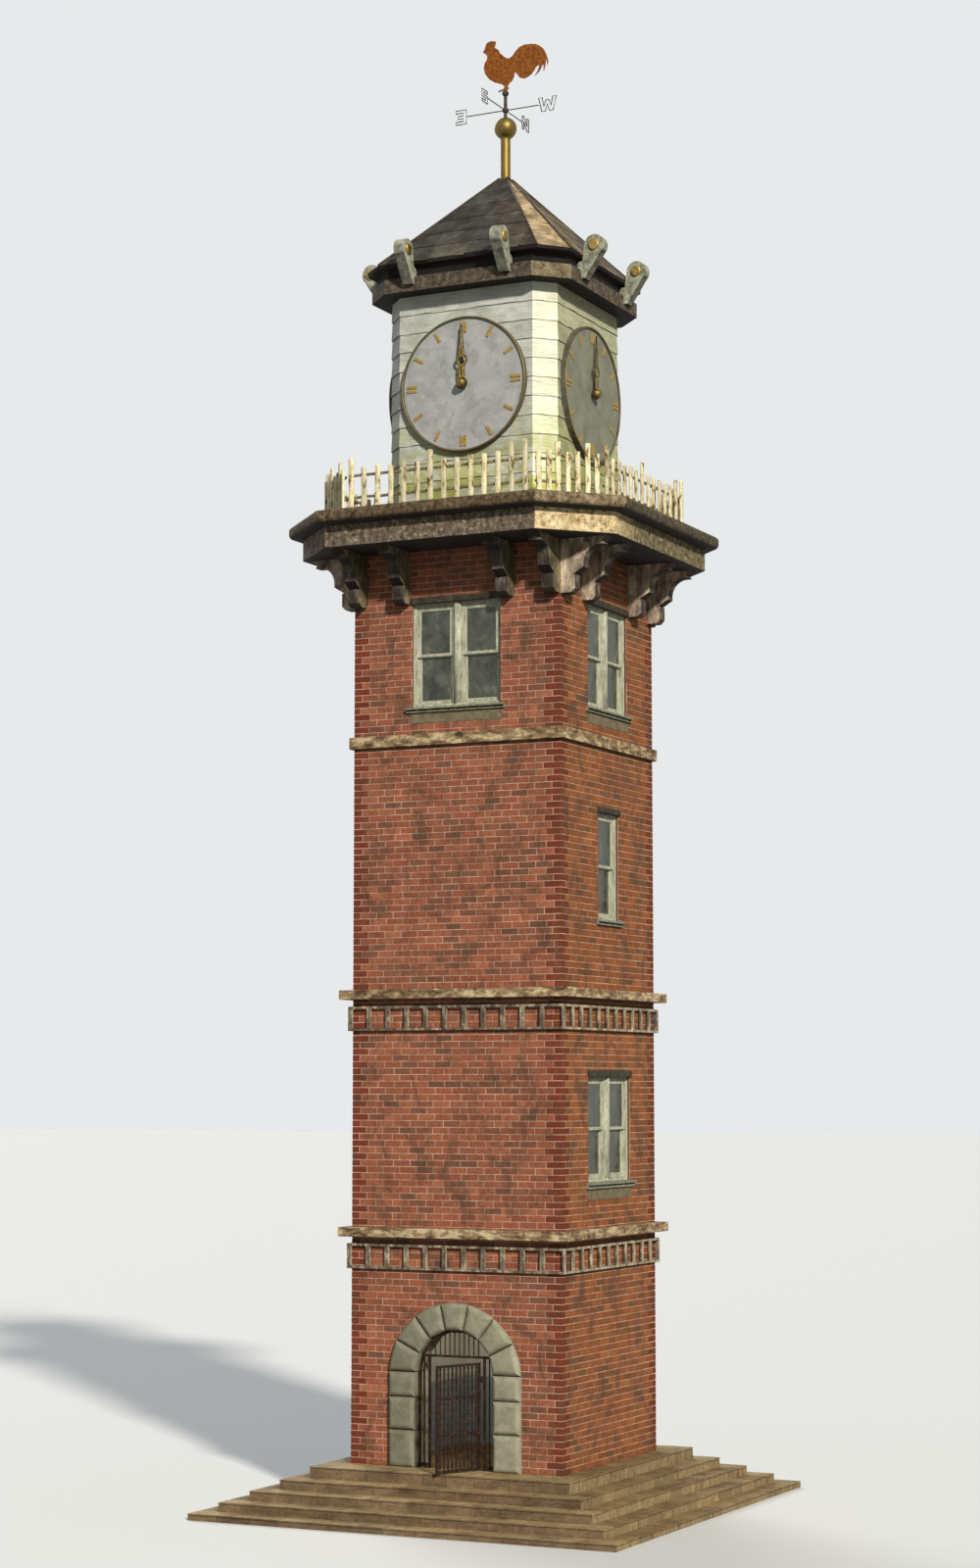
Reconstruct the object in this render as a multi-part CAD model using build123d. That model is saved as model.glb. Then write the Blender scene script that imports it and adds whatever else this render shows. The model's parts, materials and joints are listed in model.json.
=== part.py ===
"""A brick clock tower with a balcony, a weatherboarded clock room and a weathercock.

Lengths are in millimetres. The origin is the middle of the foot on the ground,
+Z is up, the doorway is in the -Y side and the right side is +X.
"""
import math
import os
from collections import namedtuple

from build123d import *

os.makedirs("parts", exist_ok=True)

# Turns, sides and counts
QUARTER = 90
ROOT_TWO = math.sqrt(2)
FRONT, RIGHT, BACK, LEFT = range(4)
ALL_SIDES = (FRONT, RIGHT, BACK, LEFT)
FLANKS = (RIGHT, LEFT)
SIDE_NAMES = ("front", "right", "back", "left")
CORNER_NAMES = ("front_right", "back_right", "back_left", "front_left")
arch_stones = 7
frieze_uprights = 12
leaf_bars = 10
fan_bars = 10
single_light = 1
double_lights = 2

# Gaps: between neighbouring stones of one course, and between a turning piece and its seat
mitre_gap = 3
seat_gap = 0.3

# Steps, from the ground up: riser, half width and half depth of each level
step_risers = (105, 160, 165, 165, 200)
step_half_widths = (3916, 3545, 3166, 2793, 2424)
step_half_depths = (4197, 3815, 3434, 3054, 2677)
foot = sum(step_risers)

# Brick shaft
shaft_width = 4000
shaft_half = shaft_width / 2
wall_thickness = 450
inner_half = shaft_half - wall_thickness
floor_thickness = 200

# Gate leaf, and the doorway with its stone surround round it
leaf_half = 470
leaf_gap = 30
side_panel = 235
post_half_gap = leaf_half + leaf_gap
door_half = post_half_gap + side_panel
jamb_width = 510
surround_half = door_half + jamb_width
spring_height = 1612
crown_width = 445
surround_rise = door_half + crown_width
surround_reach = 110
surround_round = 85
stone_joint = 10
jamb_joints = (634, 1190)

# Cornices, band and friezes
cornice_height = 164
cornice_reach = 195
band_height = 210
band_reach = 76
frieze_height = 427
frieze_drop = 118
frieze_reach = 72
frieze_rail = 42
frieze_upright = 84
frieze_upright_depth = 34

# Windows: the rise of each sill over the course below it, and the wall left over each lintel
low_width, low_rise, low_height, low_lintel, low_sill = 1820, 782, 1814, 103, 113
low_clearance = 686
middle_width, middle_rise, middle_height, middle_lintel, middle_sill = 893, 1223, 1891, 90, 90
middle_clearance = 1039
top_width, top_rise, top_height, top_lintel, top_sill = 1720, 462, 1842, 100, 84
top_clearance = 833
crown_clearance = 537
window_recess = 60
frame_depth = 120
frame_edge = 60
mullion_width = 190
stile_width = 58
meeting_rail = 36
sash_depth = 40
sash_setback = 20
glass_thickness = 10
sill_overhang = 95
sill_reach = 90
sill_lower_reach = 50
sill_step_share = 0.45
lintel_overhang = 30
lintel_reach = 42
stone_bedding = 230

# Heights of the courses, each storey stacked on the one below
frieze_zone = frieze_height + frieze_drop
lower_cornice_low = foot + spring_height + surround_rise + crown_clearance + frieze_zone
lower_cornice_high = lower_cornice_low + cornice_height
low_foot = lower_cornice_high + low_rise
low_head = low_foot + low_height
upper_cornice_low = low_head + low_lintel + low_clearance + frieze_zone
upper_cornice_high = upper_cornice_low + cornice_height
middle_foot = upper_cornice_high + middle_rise
middle_head = middle_foot + middle_height
band_low = middle_head + middle_lintel + middle_clearance
band_high = band_low + band_height
top_foot = band_high + top_rise
top_head = top_foot + top_height
shaft_top = top_head + top_lintel + top_clearance

Window = namedtuple("Window", "width low high lintel sill lights sides")
top_window = Window(top_width, top_foot, top_head, top_lintel, top_sill, double_lights, ALL_SIDES)
middle_window = Window(middle_width, middle_foot, middle_head, middle_lintel, middle_sill, single_light, FLANKS)
low_window = Window(low_width, low_foot, low_head, low_lintel, low_sill, double_lights, FLANKS)
windows = (top_window, middle_window, low_window)

# Gate of iron bars in its fixed frame
gate_face = 1950
gate_bar = 40
frame_gap = 3
leaf_foot = 28
leaf_head_gap = 63
transom_rise = 255
transom_height = spring_height + transom_rise
leaf_height = transom_height - leaf_foot - leaf_head_gap
leaf_rails = (620, 1230)
leaf_bar_radius = 10
fan_bar_radius = 11
lock_width, lock_depth, lock_height, lock_rise = 90, 60, 130, 980
leaf_rest_angle = 65
hinge_gap = 10
hinge_insets = (230, 300)
hinge_pin, hinge_eye, hinge_boss = 9, 18, 12
hinge_eye_height, hinge_arm_height, hinge_pin_length = 60, 22, 75
hinge_arm_reach, hinge_arm_half = 60, 10
strap_start, strap_end = 50, 5

# Balcony on an octagon: half width, and how much each corner loses along the sides
fascia_half, fascia_cut, fascia_height = 3064, 1036, 389
nosing_overhang, nosing_height, nosing_round = 233, 250, 95
nosing_half = fascia_half + nosing_overhang
deck_top = shaft_top + fascia_height + nosing_height

# Scroll brackets under the balcony
bracket_thickness = 230
bracket_offsets = (1010, 1885)
bracket_height = 940
bracket_reach = 890
beak_drop, beak_back = 89, 105
lip_drop, lip_reach = 140, 822
curve_radius = 300
curve_reach = 735
shoulder_drop = 510
block_top_drop, block_neck, block_reach = 629, 235, 274
block_chamfer = 70

# Railing of rough pickets
railing_inset, railing_cut = 528, 946
picket_width, picket_depth, picket_height = 88, 46, 815
picket_pitch, corner_pitch = 277, 196
side_height_shares = (1.2, 0.98, 1, 0.97, 1.01, 0.98, 1.21, 1, 0.98, 1.01, 1, 1.02, 1.19, 1.22)
corner_height_shares = (0.99, 1, 1.2, 0.98, 1.01, 1.2)
rail_height, rail_depth = 48, 40
rail_levels = (252, 645)
railing_corner_gap = 90

# Clock room of boards
room_half, room_cut = 1633, 326
room_wall = 120
room_height = 4080
room_top = deck_top + room_height

# Dials and hands
dial_radius = 1215
dial_drop = 510
rim_width, rim_reach, rim_round = 36, 125, 10
dial_thickness = 95
dial_height = room_top - dial_drop - dial_radius
hand_standoff, hand_gap, hand_thickness = 50, 8, 14
hour_arbor, minute_arbor = 34, 24
arbor_step = 4
hub_radius, cap_radius, cap_height = 104, 82, 52
minute_reach, minute_root, minute_tip = 1060, 124, 18
hour_reach, hour_root, hour_tip = 640, 84, 18
ring_share = 0.385
ring_radius, ring_hole = 116, 74
slot_width, slot_margin = 22, 26
slot_end_share = 0.78

# Eaves and roof
eaves_overhang, eaves_cut, eaves_height = 351, 527, 264
eaves_half = room_half + eaves_overhang
eaves_band_inset, eaves_band_height = 90, 214
eaves_top = room_top + eaves_height
roof_overhang, roof_cut, roof_height = 26, 441, 2089
roof_half = eaves_half + roof_overhang
roof_edge = eaves_top + eaves_band_height
roof_apex = roof_edge + roof_height
roof_rim = 160
roof_edge_height = 55
point_share = 0.03

# Stone arms round the eaves, with a brass disc on each flat
arm_offset = 945
arm_thickness = 200
arm_head_out, arm_head_rise, arm_head_radius = 244, 436, 185
arm_foot_drop, arm_foot_width = 149, 70
arm_lobe_radius = 80
disc_radius, disc_reach = 100, 34
disc_round_share = 0.65

# Finial, compass and weathercock, each a rise over the point of the roof
post_radius, post_sink = 92, 117
ball_radius, ball_rise = 207, 874
neck_round = 60
spindle_radius, hub_knob_radius, hub_rise = 32, 60, 1219
compass_reaches = (756, 673, 725, 806)
compass_rod = 10
top_ball_radius, top_ball_rise = 62, 1543
pin_radius, pin_share = 18, 0.6
cock_rise, cock_thickness = 1583, 18
cock_length, cock_height = 1331, 1005
# the bird's outline, from its spindle and its feet, as shares of its length and height
cock_shares = (
    (-0.035, 0.021), (-0.110, 0), (-0.101, 0.028), (-0.030, 0.049), (-0.012, 0.096), (-0.066, 0.149),
    (-0.172, 0.202), (-0.252, 0.277), (-0.314, 0.394), (-0.332, 0.5), (-0.318, 0.596), (-0.282, 0.66),
    (-0.279, 0.734), (-0.305, 0.751), (-0.311, 0.787), (-0.346, 0.794), (-0.323, 0.851), (-0.297, 0.947),
    (-0.279, 0.974), (-0.226, 0.994), (-0.146, 0.972), (-0.154, 0.915), (-0.169, 0.862), (-0.101, 0.798),
    (-0.092, 0.751), (-0.030, 0.67), (0.020, 0.617), (0.059, 0.611), (0.103, 0.638), (0.156, 0.723),
    (0.210, 0.787), (0.281, 0.819), (0.378, 0.815), (0.458, 0.798), (0.520, 0.755), (0.583, 0.681),
    (0.618, 0.585), (0.636, 0.521), (0.654, 0.436), (0.641, 0.362), (0.631, 0.457), (0.618, 0.479),
    (0.609, 0.372), (0.583, 0.255), (0.583, 0.372), (0.565, 0.394), (0.552, 0.351), (0.512, 0.266),
    (0.449, 0.202), (0.494, 0.287), (0.520, 0.372), (0.512, 0.394), (0.467, 0.372), (0.440, 0.309),
    (0.396, 0.245), (0.343, 0.206), (0.290, 0.181), (0.218, 0.213), (0.192, 0.266), (0.156, 0.319),
    (0.139, 0.33), (0.130, 0.245), (0.103, 0.181), (0.059, 0.138), (0.041, 0.106), (0.032, 0.074),
    (0.059, 0.053), (0.014, 0.011),
)


def prism(sketch, low, high):
    """The sketch on the ground plane, raised from one level to another."""
    return extrude(Pos(0, 0, low) * sketch, high - low)


def octagon(half, cut):
    """An octagon with long sides on the axes, each corner of its square cut off."""
    points = []
    for c, s in ((1, 0), (0, 1), (-1, 0), (0, -1)):
        for x, y in ((cut - half, -half), (half - cut, -half)):
            points.append((x * c - y * s, x * s + y * c))
    return Polygon(*points, align=None)


def inner_cut(cut, inset):
    """The corner cut of the octagon whose every side lies the same distance inside another's."""
    return cut - inset * (2 - ROOT_TWO)


def block(x_low, x_high, y_low, y_high, z_low, z_high):
    """A box between two corners."""
    box = Box(x_high - x_low, y_high - y_low, z_high - z_low)
    return Pos((x_low + x_high) / 2, (y_low + y_high) / 2, (z_low + z_high) / 2) * box


def rod(x, y, low, high, radius):
    """An upright round bar."""
    return Pos(x, y, (low + high) / 2) * Cylinder(radius, high - low)


def turned(shape, side):
    """The shape of the front, carried round to another side."""
    return Rot(0, 0, QUARTER * side) * shape


def all_round(shape):
    return [turned(shape, side) for side in ALL_SIDES]


def save(name, *shapes):
    solids = [solid for shape in shapes for solid in shape.solids()]
    export_step(solids[0] if len(solids) == 1 else Compound(solids), f"parts/{name}.step")


# Steps
level = 0
for number, (riser, half, depth) in enumerate(zip(step_risers, step_half_widths, step_half_depths), 1):
    name = "platform" if number == len(step_risers) else f"step_{number}"
    save(name, block(-half, half, -depth, depth, level, level + riser))
    level += riser


# Windows: what the wall loses, and what stands in the opening
def lintel_stone(window):
    half = window.width / 2 + lintel_overhang
    return block(-half, half, -shaft_half - lintel_reach, -shaft_half + stone_bedding,
                 window.high, window.high + window.lintel)


def sill_stone(window):
    """A sill with a stepped nose, its profile drawn out from the wall and up."""
    step = window.sill * sill_step_share
    profile = Polygon((-stone_bedding, -window.sill), (sill_lower_reach, -window.sill), (sill_lower_reach, -step),
                      (sill_reach, -step), (sill_reach, 0), (-stone_bedding, 0), align=None)
    side = Plane(origin=(0, -shaft_half, window.low), x_dir=(0, -1, 0), z_dir=(-1, 0, 0))
    return extrude(side * profile, window.width / 2 + sill_overhang, both=True)


def window_cuts(window):
    half = window.width / 2
    opening = block(-half, half, -shaft_half - sill_reach, -inner_half + mitre_gap, window.low, window.high)
    sill_half = half + sill_overhang
    bed = block(-sill_half, sill_half, -shaft_half - sill_reach, -shaft_half + stone_bedding,
                window.low - window.sill, window.low)
    return [opening, lintel_stone(window), bed]


def sashes(window):
    """Every sash of a window: left, right, foot, head and depth behind the frame's face."""
    half = window.width / 2
    middle = (window.low + window.high) / 2
    light = (window.width - 2 * frame_edge - (window.lights - 1) * mullion_width) / window.lights
    found = []
    for index in range(window.lights):
        left = -half + frame_edge + index * (light + mullion_width)
        found.append((left, left + light, middle - meeting_rail / 2, window.high - frame_edge, sash_setback))
        found.append((left, left + light, window.low + frame_edge, middle + meeting_rail / 2, sash_setback + sash_depth))
    return found


def sash_light(sash, window):
    """The glazed part of a sash: its rail at the middle of the window is thinner than the others."""
    left, right, bottom, top, depth = sash
    upper = top > window.high - 2 * frame_edge
    foot_rail = meeting_rail if upper else stile_width
    head_rail = stile_width if upper else meeting_rail
    return left + stile_width, right - stile_width, bottom + foot_rail, top - head_rail


def window_frame(window):
    outer = -shaft_half + window_recess
    half = window.width / 2
    frame = block(-half, half, outer, outer + frame_depth, window.low, window.high)
    for left, right, bottom, top, depth in sashes(window)[::2]:
        frame -= block(left, right, outer, outer + frame_depth, window.low + frame_edge, window.high - frame_edge)
    for sash in sashes(window):
        left, right, bottom, top, depth = sash
        panel = block(left, right, outer + depth, outer + depth + sash_depth, bottom, top)
        x_low, x_high, z_low, z_high = sash_light(sash, window)
        frame += panel - block(x_low, x_high, outer, outer + frame_depth, z_low, z_high)
    return frame


def window_panes(window):
    panes = []
    for sash in sashes(window):
        x_low, x_high, z_low, z_high = sash_light(sash, window)
        y = -shaft_half + window_recess + sash[-1] + sash_depth / 2
        panes.append(block(x_low, x_high, y, y + glass_thickness, z_low, z_high))
    return panes


# Walls
pier_top = foot + spring_height
front_slab = block(-shaft_half, shaft_half, -shaft_half, -inner_half, pier_top, shaft_top)
back_slab = block(-shaft_half, shaft_half, inner_half, shaft_half, foot, shaft_top)
flank_slab = block(-inner_half, inner_half, -shaft_half, -inner_half, foot, shaft_top)
surround_drop = (surround_half ** 2 - surround_rise ** 2) / (2 * surround_rise)
surround_disc = Pos(0, -surround_drop) * Circle(surround_rise + surround_drop)
arch_plane = Plane.XZ.offset(inner_half) * Pos(0, pier_top)
front_slab -= extrude(arch_plane * surround_disc, wall_thickness)
for cut in window_cuts(top_window):
    front_slab -= cut
    back_slab -= turned(cut, BACK)
for window in windows:
    for cut in window_cuts(window):
        flank_slab -= cut
save("front_wall", front_slab)
save("back_wall", back_slab)
save("right_wall", turned(flank_slab, RIGHT))
save("left_wall", turned(flank_slab, LEFT))
save("front_pier_left", block(-shaft_half, -surround_half, -shaft_half, -inner_half, foot, pier_top))
save("front_pier_right", block(surround_half, shaft_half, -shaft_half, -inner_half, foot, pier_top))

floors = []
for under in (lower_cornice_low, upper_cornice_low, band_low):
    floors.append(block(-inner_half, inner_half, -inner_half, inner_half, under, under + floor_thickness))
save("floors", *floors)

window_stones, frames, panes = [], [], []
for window in windows:
    for side in window.sides:
        window_stones += [turned(lintel_stone(window), side), turned(sill_stone(window), side)]
        frames.append(turned(window_frame(window), side))
        panes += [turned(pane, side) for pane in window_panes(window)]
save("window_stones", *window_stones)
save("window_frames", *frames)
save("window_panes", *panes)


# Cornices, band and friezes
def mitred(reach, low, high):
    """One side of a course round the shaft, cut to meet its neighbours."""
    outer = shaft_half + reach
    corners = ((mitre_gap - outer, -outer), (outer - mitre_gap, -outer),
               (shaft_half - mitre_gap, -shaft_half), (mitre_gap - shaft_half, -shaft_half))
    return prism(Polygon(*corners, align=None), low, high)


save("lower_cornice", *all_round(mitred(cornice_reach, lower_cornice_low, lower_cornice_high)))
save("upper_cornice", *all_round(mitred(cornice_reach, upper_cornice_low, upper_cornice_high)))
save("plain_band", *all_round(mitred(band_reach, band_low, band_high)))


def frieze(cornice_low):
    """Two rails and their uprights: one end laps the corner, the other stops at the next side's lap."""
    high = cornice_low - frieze_drop
    low = high - frieze_height
    outer = shaft_half + frieze_reach
    right = shaft_half - mitre_gap
    panel = block(-outer, right, -outer, -shaft_half, low, low + frieze_rail)
    panel += block(-outer, right, -outer, -shaft_half, high - frieze_rail, high)
    pitch = (2 * outer - frieze_upright) / (frieze_uprights - 1)
    for index in range(frieze_uprights - 1):
        left = index * pitch - outer
        panel += block(left, left + frieze_upright, -outer, -outer + frieze_upright_depth, low, high)
    return panel


save("friezes", *all_round(frieze(lower_cornice_low)), *all_round(frieze(upper_cornice_low)))


# Door surround
def rounded(stone, front):
    """The stone with the edges of its outer face rounded off."""
    edges = stone.edges().filter_by(lambda edge: abs(edge.center().Y - front) < stone_joint)
    return fillet(edges, surround_round)


def arch_points(radius):
    """The corners of the arch's straight-sided curve, one side to each stone, from the right."""
    turns = [2 * QUARTER * edge / arch_stones for edge in range(arch_stones + 1)]
    return [(radius * math.cos(math.radians(turn)), radius * math.sin(math.radians(turn))) for turn in turns]


def arch_rise(x, radius):
    """How high that curve stands over the springing at a place off the middle."""
    corners = arch_points(radius)
    for (x_high, z_start), (x_low, z_end) in zip(corners, corners[1:]):
        if x_low <= x <= x_high:
            return z_start + (z_end - z_start) * (x_high - x) / (x_high - x_low)
    return 0


surround_front = -shaft_half - surround_reach
jambs = []
levels = (0, *jamb_joints, spring_height)
for low, high in zip(levels, levels[1:]):
    for left, right in ((-surround_half, -door_half), (door_half, surround_half)):
        stone = block(left, right, surround_front, -inner_half, foot + low, foot + high - stone_joint)
        jambs.append(rounded(stone, surround_front))
save("door_jambs", *jambs)

ring = surround_disc - Polygon(*arch_points(door_half), align=None)
voussoirs = []
for index in range(arch_stones):
    turns = [math.radians(2 * QUARTER * edge / arch_stones) for edge in (index, index + 1)]
    middle = sum(turns) / 2
    nudge = stone_joint / 2 / math.sin((turns[1] - turns[0]) / 2)
    start = (nudge * math.cos(middle), nudge * math.sin(middle))
    reach = 2 * surround_half
    ends = [(start[0] + reach * math.cos(turn), start[1] + reach * math.sin(turn)) for turn in turns]
    profile = ring & Polygon(start, *ends, align=None)
    stone = extrude(arch_plane * profile, wall_thickness + surround_reach)
    voussoirs.append(rounded(stone, surround_front))
save("door_arch", *voussoirs)

# Gate frame: posts, a straight-sided head under the arch, a transom and bars
gate_low, gate_high = -gate_face, -gate_face + gate_bar
gate_middle = (gate_low + gate_high) / 2
frame_half = door_half - frame_gap
head_inner = frame_half - gate_bar
head = Polygon(*arch_points(frame_half), align=None) - Polygon(*arch_points(head_inner), align=None)
gate_frame = extrude(Plane.XZ.offset(gate_face - gate_bar) * Pos(0, pier_top) * head, gate_bar)
transom_low = foot + transom_height
for sign in (-1, 1):
    outer_post = sorted((sign * frame_half, sign * head_inner))
    inner_post = sorted((sign * post_half_gap, sign * (post_half_gap + gate_bar)))
    gate_frame += block(*outer_post, gate_low, gate_high, foot, pier_top)
    gate_frame += block(*inner_post, gate_low, gate_high, foot, transom_low)
    panel = sorted((sign * post_half_gap, sign * head_inner))
    gate_frame += block(*panel, gate_low, gate_high, foot + gate_bar, foot + 2 * gate_bar)
    side_bar = sign * (head_inner + post_half_gap + gate_bar) / 2
    gate_frame += rod(side_bar, gate_middle, foot, pier_top + arch_rise(side_bar, head_inner + gate_bar / 2),
                      fan_bar_radius)
transom_half = post_half_gap + gate_bar
while arch_rise(transom_half, head_inner) > transom_rise:
    transom_half += frame_gap
gate_frame += block(-transom_half, transom_half, gate_low, gate_high, transom_low, transom_low + gate_bar)
for index in range(fan_bars):
    x = 2 * post_half_gap * ((index + 1) / (fan_bars + 1)) - post_half_gap
    gate_frame += rod(x, gate_middle, transom_low, pier_top + arch_rise(x, head_inner + gate_bar / 2), fan_bar_radius)

# Gate leaf, shut, with its hinge eyes over the frame's pins, then turned open
leaf_low, leaf_high = foot + leaf_foot, foot + leaf_foot + leaf_height
hinge_x, hinge_y = leaf_half + hinge_gap, -gate_face - hinge_gap
leaf = block(-leaf_half, gate_bar - leaf_half, gate_low, gate_high, leaf_low, leaf_high)
leaf += block(leaf_half - gate_bar, leaf_half, gate_low, gate_high, leaf_low, leaf_high)
for bottom in (leaf_low, leaf_high - gate_bar, *[foot + height for height in leaf_rails]):
    leaf += block(-leaf_half, leaf_half, gate_low, gate_high, bottom, bottom + gate_bar)
for index in range(leaf_bars):
    x = 2 * leaf_half * ((index + 1) / (leaf_bars + 1)) - leaf_half
    leaf += rod(x, gate_middle, leaf_low, leaf_high, leaf_bar_radius)
lock_left = -leaf_half - hinge_gap / 2
lock_low = foot + lock_rise - lock_height / 2
leaf += block(lock_left, lock_left + lock_width, gate_middle - lock_depth / 2, gate_middle + lock_depth / 2,
              lock_low, lock_low + lock_height)
for arm_top in (leaf_low + hinge_insets[0], leaf_high - hinge_insets[1]):
    eye_low = arm_top + seat_gap
    eye_high = eye_low + hinge_eye_height
    leaf += rod(hinge_x, hinge_y, eye_low, eye_high, hinge_eye)
    leaf += block(hinge_x - strap_start, hinge_x - strap_end, hinge_y, hinge_y + hinge_gap, eye_low, eye_high)
    leaf -= rod(hinge_x, hinge_y, eye_low, eye_high, hinge_pin + seat_gap)
    arm_low = arm_top - hinge_arm_height
    gate_frame += rod(hinge_x, hinge_y, arm_low, arm_top, hinge_boss)
    gate_frame += block(hinge_x, hinge_x + hinge_arm_reach, hinge_y - hinge_arm_half, hinge_y + hinge_arm_half,
                        arm_low, arm_top)
    gate_frame += rod(hinge_x, hinge_y, arm_low, arm_top + hinge_pin_length, hinge_pin)
leaf = Pos(hinge_x, hinge_y) * Rot(0, 0, leaf_rest_angle) * Pos(-hinge_x, -hinge_y) * leaf
save("gate_frame", gate_frame)
save("gate_leaf", leaf)

# Balcony
nosing_cut = inner_cut(fascia_cut, -nosing_overhang)
joint_nudge = mitre_gap * ROOT_TWO
quadrant = Polygon((0, -joint_nudge), (-nosing_half, -nosing_half - joint_nudge),
                   (nosing_half, -nosing_half - joint_nudge), align=None)
fascia_ring = octagon(fascia_half, fascia_cut) - Rectangle(2 * inner_half, 2 * inner_half)
fascia_top = shaft_top + fascia_height
save("balcony_fascia", *all_round(prism(fascia_ring & quadrant, shaft_top, fascia_top)))
deck = prism(octagon(nosing_half, nosing_cut), fascia_top, deck_top)
deck = fillet(deck.faces().sort_by(Axis.Z)[-1].edges(), nosing_round)
deck = fillet(deck.faces().sort_by(Axis.Z)[0].edges(), nosing_round)
save("balcony_deck", deck)


def bracket_profile():
    """The side of a bracket, out from the wall and down from the soffit."""
    curve_start = (curve_reach, -lip_drop)
    curve_end = (curve_reach - curve_radius, -lip_drop - curve_radius)
    bend = curve_radius / ROOT_TWO
    curve_middle = (curve_reach - bend, -lip_drop - curve_radius + bend)
    outline = Polyline(curve_end, (curve_end[0], -shoulder_drop), (block_neck, -block_top_drop),
                       (block_reach, -block_top_drop), (block_reach, -bracket_height + block_chamfer),
                       (block_reach - block_chamfer, -bracket_height), (0, -bracket_height), (0, 0),
                       (bracket_reach, 0), (bracket_reach - beak_back, -beak_drop), (lip_reach, -lip_drop), curve_start)
    return make_face(outline + ThreePointArc(curve_start, curve_middle, curve_end))


# the profile's first axis points out of the front wall, its second axis up
bracket_plane = Plane(origin=(0, -shaft_half, shaft_top), x_dir=(0, -1, 0), z_dir=(-1, 0, 0))
bracket = extrude(bracket_plane * bracket_profile(), bracket_thickness / 2, both=True)
brackets = []
for offset in bracket_offsets:
    for sign in (-1, 1):
        brackets += all_round(Pos(sign * offset, 0, 0) * bracket)
save("balcony_brackets", *brackets)

# Railing
rail_half = nosing_half - railing_inset
rail_side = rail_half - railing_cut


def railing(length, distance, spacing, height_shares):
    """A run of uneven pickets with two rails behind them, facing the front."""
    half = length / 2 - railing_corner_gap
    pickets = round(2 * half / spacing) + 1
    pitch = (2 * half - picket_width) / (pickets - 1)
    run = Part()
    for rail_level in rail_levels:
        low = deck_top + rail_level
        run += block(-half, half, -distance + picket_depth, -distance + picket_depth + rail_depth, low, low + rail_height)
    for index in range(pickets):
        left = -half + index * pitch
        height = picket_height * height_shares[index % len(height_shares)]
        run += block(left, left + picket_width, -distance, -distance + picket_depth, deck_top, deck_top + height)
    return run


side_run = railing(2 * rail_side, rail_half, picket_pitch, side_height_shares)
corner_run = railing(railing_cut * ROOT_TWO, (rail_half + rail_side) / ROOT_TWO, corner_pitch, corner_height_shares)
for side, name in enumerate(SIDE_NAMES):
    save(f"railing_{name}", turned(side_run, side))
for side, name in enumerate(CORNER_NAMES):
    save(f"railing_{name}", Rot(0, 0, QUARTER * (side + 1 / 2)) * corner_run)

# Clock room
room_side = room_half - room_cut
room_void = octagon(room_half - room_wall, inner_cut(room_cut, room_wall))
room_shell = prism(octagon(room_half, room_cut) - room_void, deck_top, room_top)
face_half = room_side - mitre_gap
save("clock_walls", *all_round(room_shell & block(-face_half, face_half, -room_half, room_wall - room_half,
                                                  deck_top, room_top)))
corner_band = Pos(room_half - room_cut / 2, room_cut / 2 - room_half) * Rectangle(room_cut, room_cut)
save("clock_corners", *all_round(room_shell & prism(corner_band, deck_top, room_top)))

# Dials, each with a stepped arbor for its two hands
dial_plane = Plane(origin=(0, -room_half, dial_height), x_dir=(1, 0, 0), z_dir=(0, -1, 0))
hour_low = dial_thickness + hand_standoff
minute_low = hour_low + hand_thickness + hand_gap
minute_high = minute_low + hand_thickness
arbor_end = minute_high + cap_height / 2
rim = extrude(dial_plane * (Circle(dial_radius) - Circle(dial_radius - rim_width)), rim_reach)
rim = fillet(rim.faces().sort_by(Axis.Y)[0].edges(), rim_round)
save("dial_rims", *all_round(rim))
face = extrude(dial_plane * Circle(dial_radius - rim_width), dial_thickness)
face += extrude(dial_plane * Circle(hour_arbor), hour_low + hand_thickness + arbor_step)
face += extrude(dial_plane * Circle(minute_arbor), arbor_end)
save("dial_faces", *all_round(face))


def hand_blade(reach, root, tip, straight):
    """A blade as wide as its root up to a place along it, then tapered to its tip."""
    return Polygon((-root / 2, 0), (root / 2, 0), (root / 2, straight), (tip / 2, reach), (-tip / 2, reach),
                   (-root / 2, straight), align=None)


hour_sketch = hand_blade(hour_reach, hour_root, hour_tip, hub_radius) + Circle(hub_radius)
hour_sketch -= Circle(hour_arbor + seat_gap)
hour = extrude(dial_plane.offset(hour_low) * hour_sketch, hand_thickness)

ring_at = minute_reach * ring_share
minute_sketch = hand_blade(minute_reach, minute_root, minute_tip, ring_at) + Circle(hub_radius)
minute_sketch += Pos(0, ring_at) * Circle(ring_radius)
minute_sketch -= Pos(0, ring_at) * Circle(ring_hole)
for low, high in ((hub_radius + slot_margin, ring_at - ring_radius),
                  (ring_at + ring_radius, minute_reach * slot_end_share)):
    minute_sketch -= Pos(0, (low + high) / 2) * Rectangle(slot_width, high - low)
minute = extrude(dial_plane.offset(minute_low) * minute_sketch, hand_thickness)
cap = extrude(dial_plane.offset(minute_low) * Circle(cap_radius), hand_thickness + cap_height)
minute += fillet(cap.faces().sort_by(Axis.Y)[0].edges(), cap_height * disc_round_share)
minute -= extrude(dial_plane * Circle(minute_arbor + seat_gap), arbor_end + seat_gap)
for side, name in enumerate(SIDE_NAMES):
    save(f"hour_hand_{name}", turned(hour, side))
    save(f"minute_hand_{name}", turned(minute, side))

# Eaves and roof
eaves = prism((octagon(eaves_half, eaves_cut) - room_void) & quadrant, room_top, eaves_top)
eaves_band = octagon(eaves_half - eaves_band_inset, inner_cut(eaves_cut, eaves_band_inset)) - room_void
eaves += prism(eaves_band & quadrant, eaves_top, roof_edge)
save("eaves", *all_round(eaves))


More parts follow.
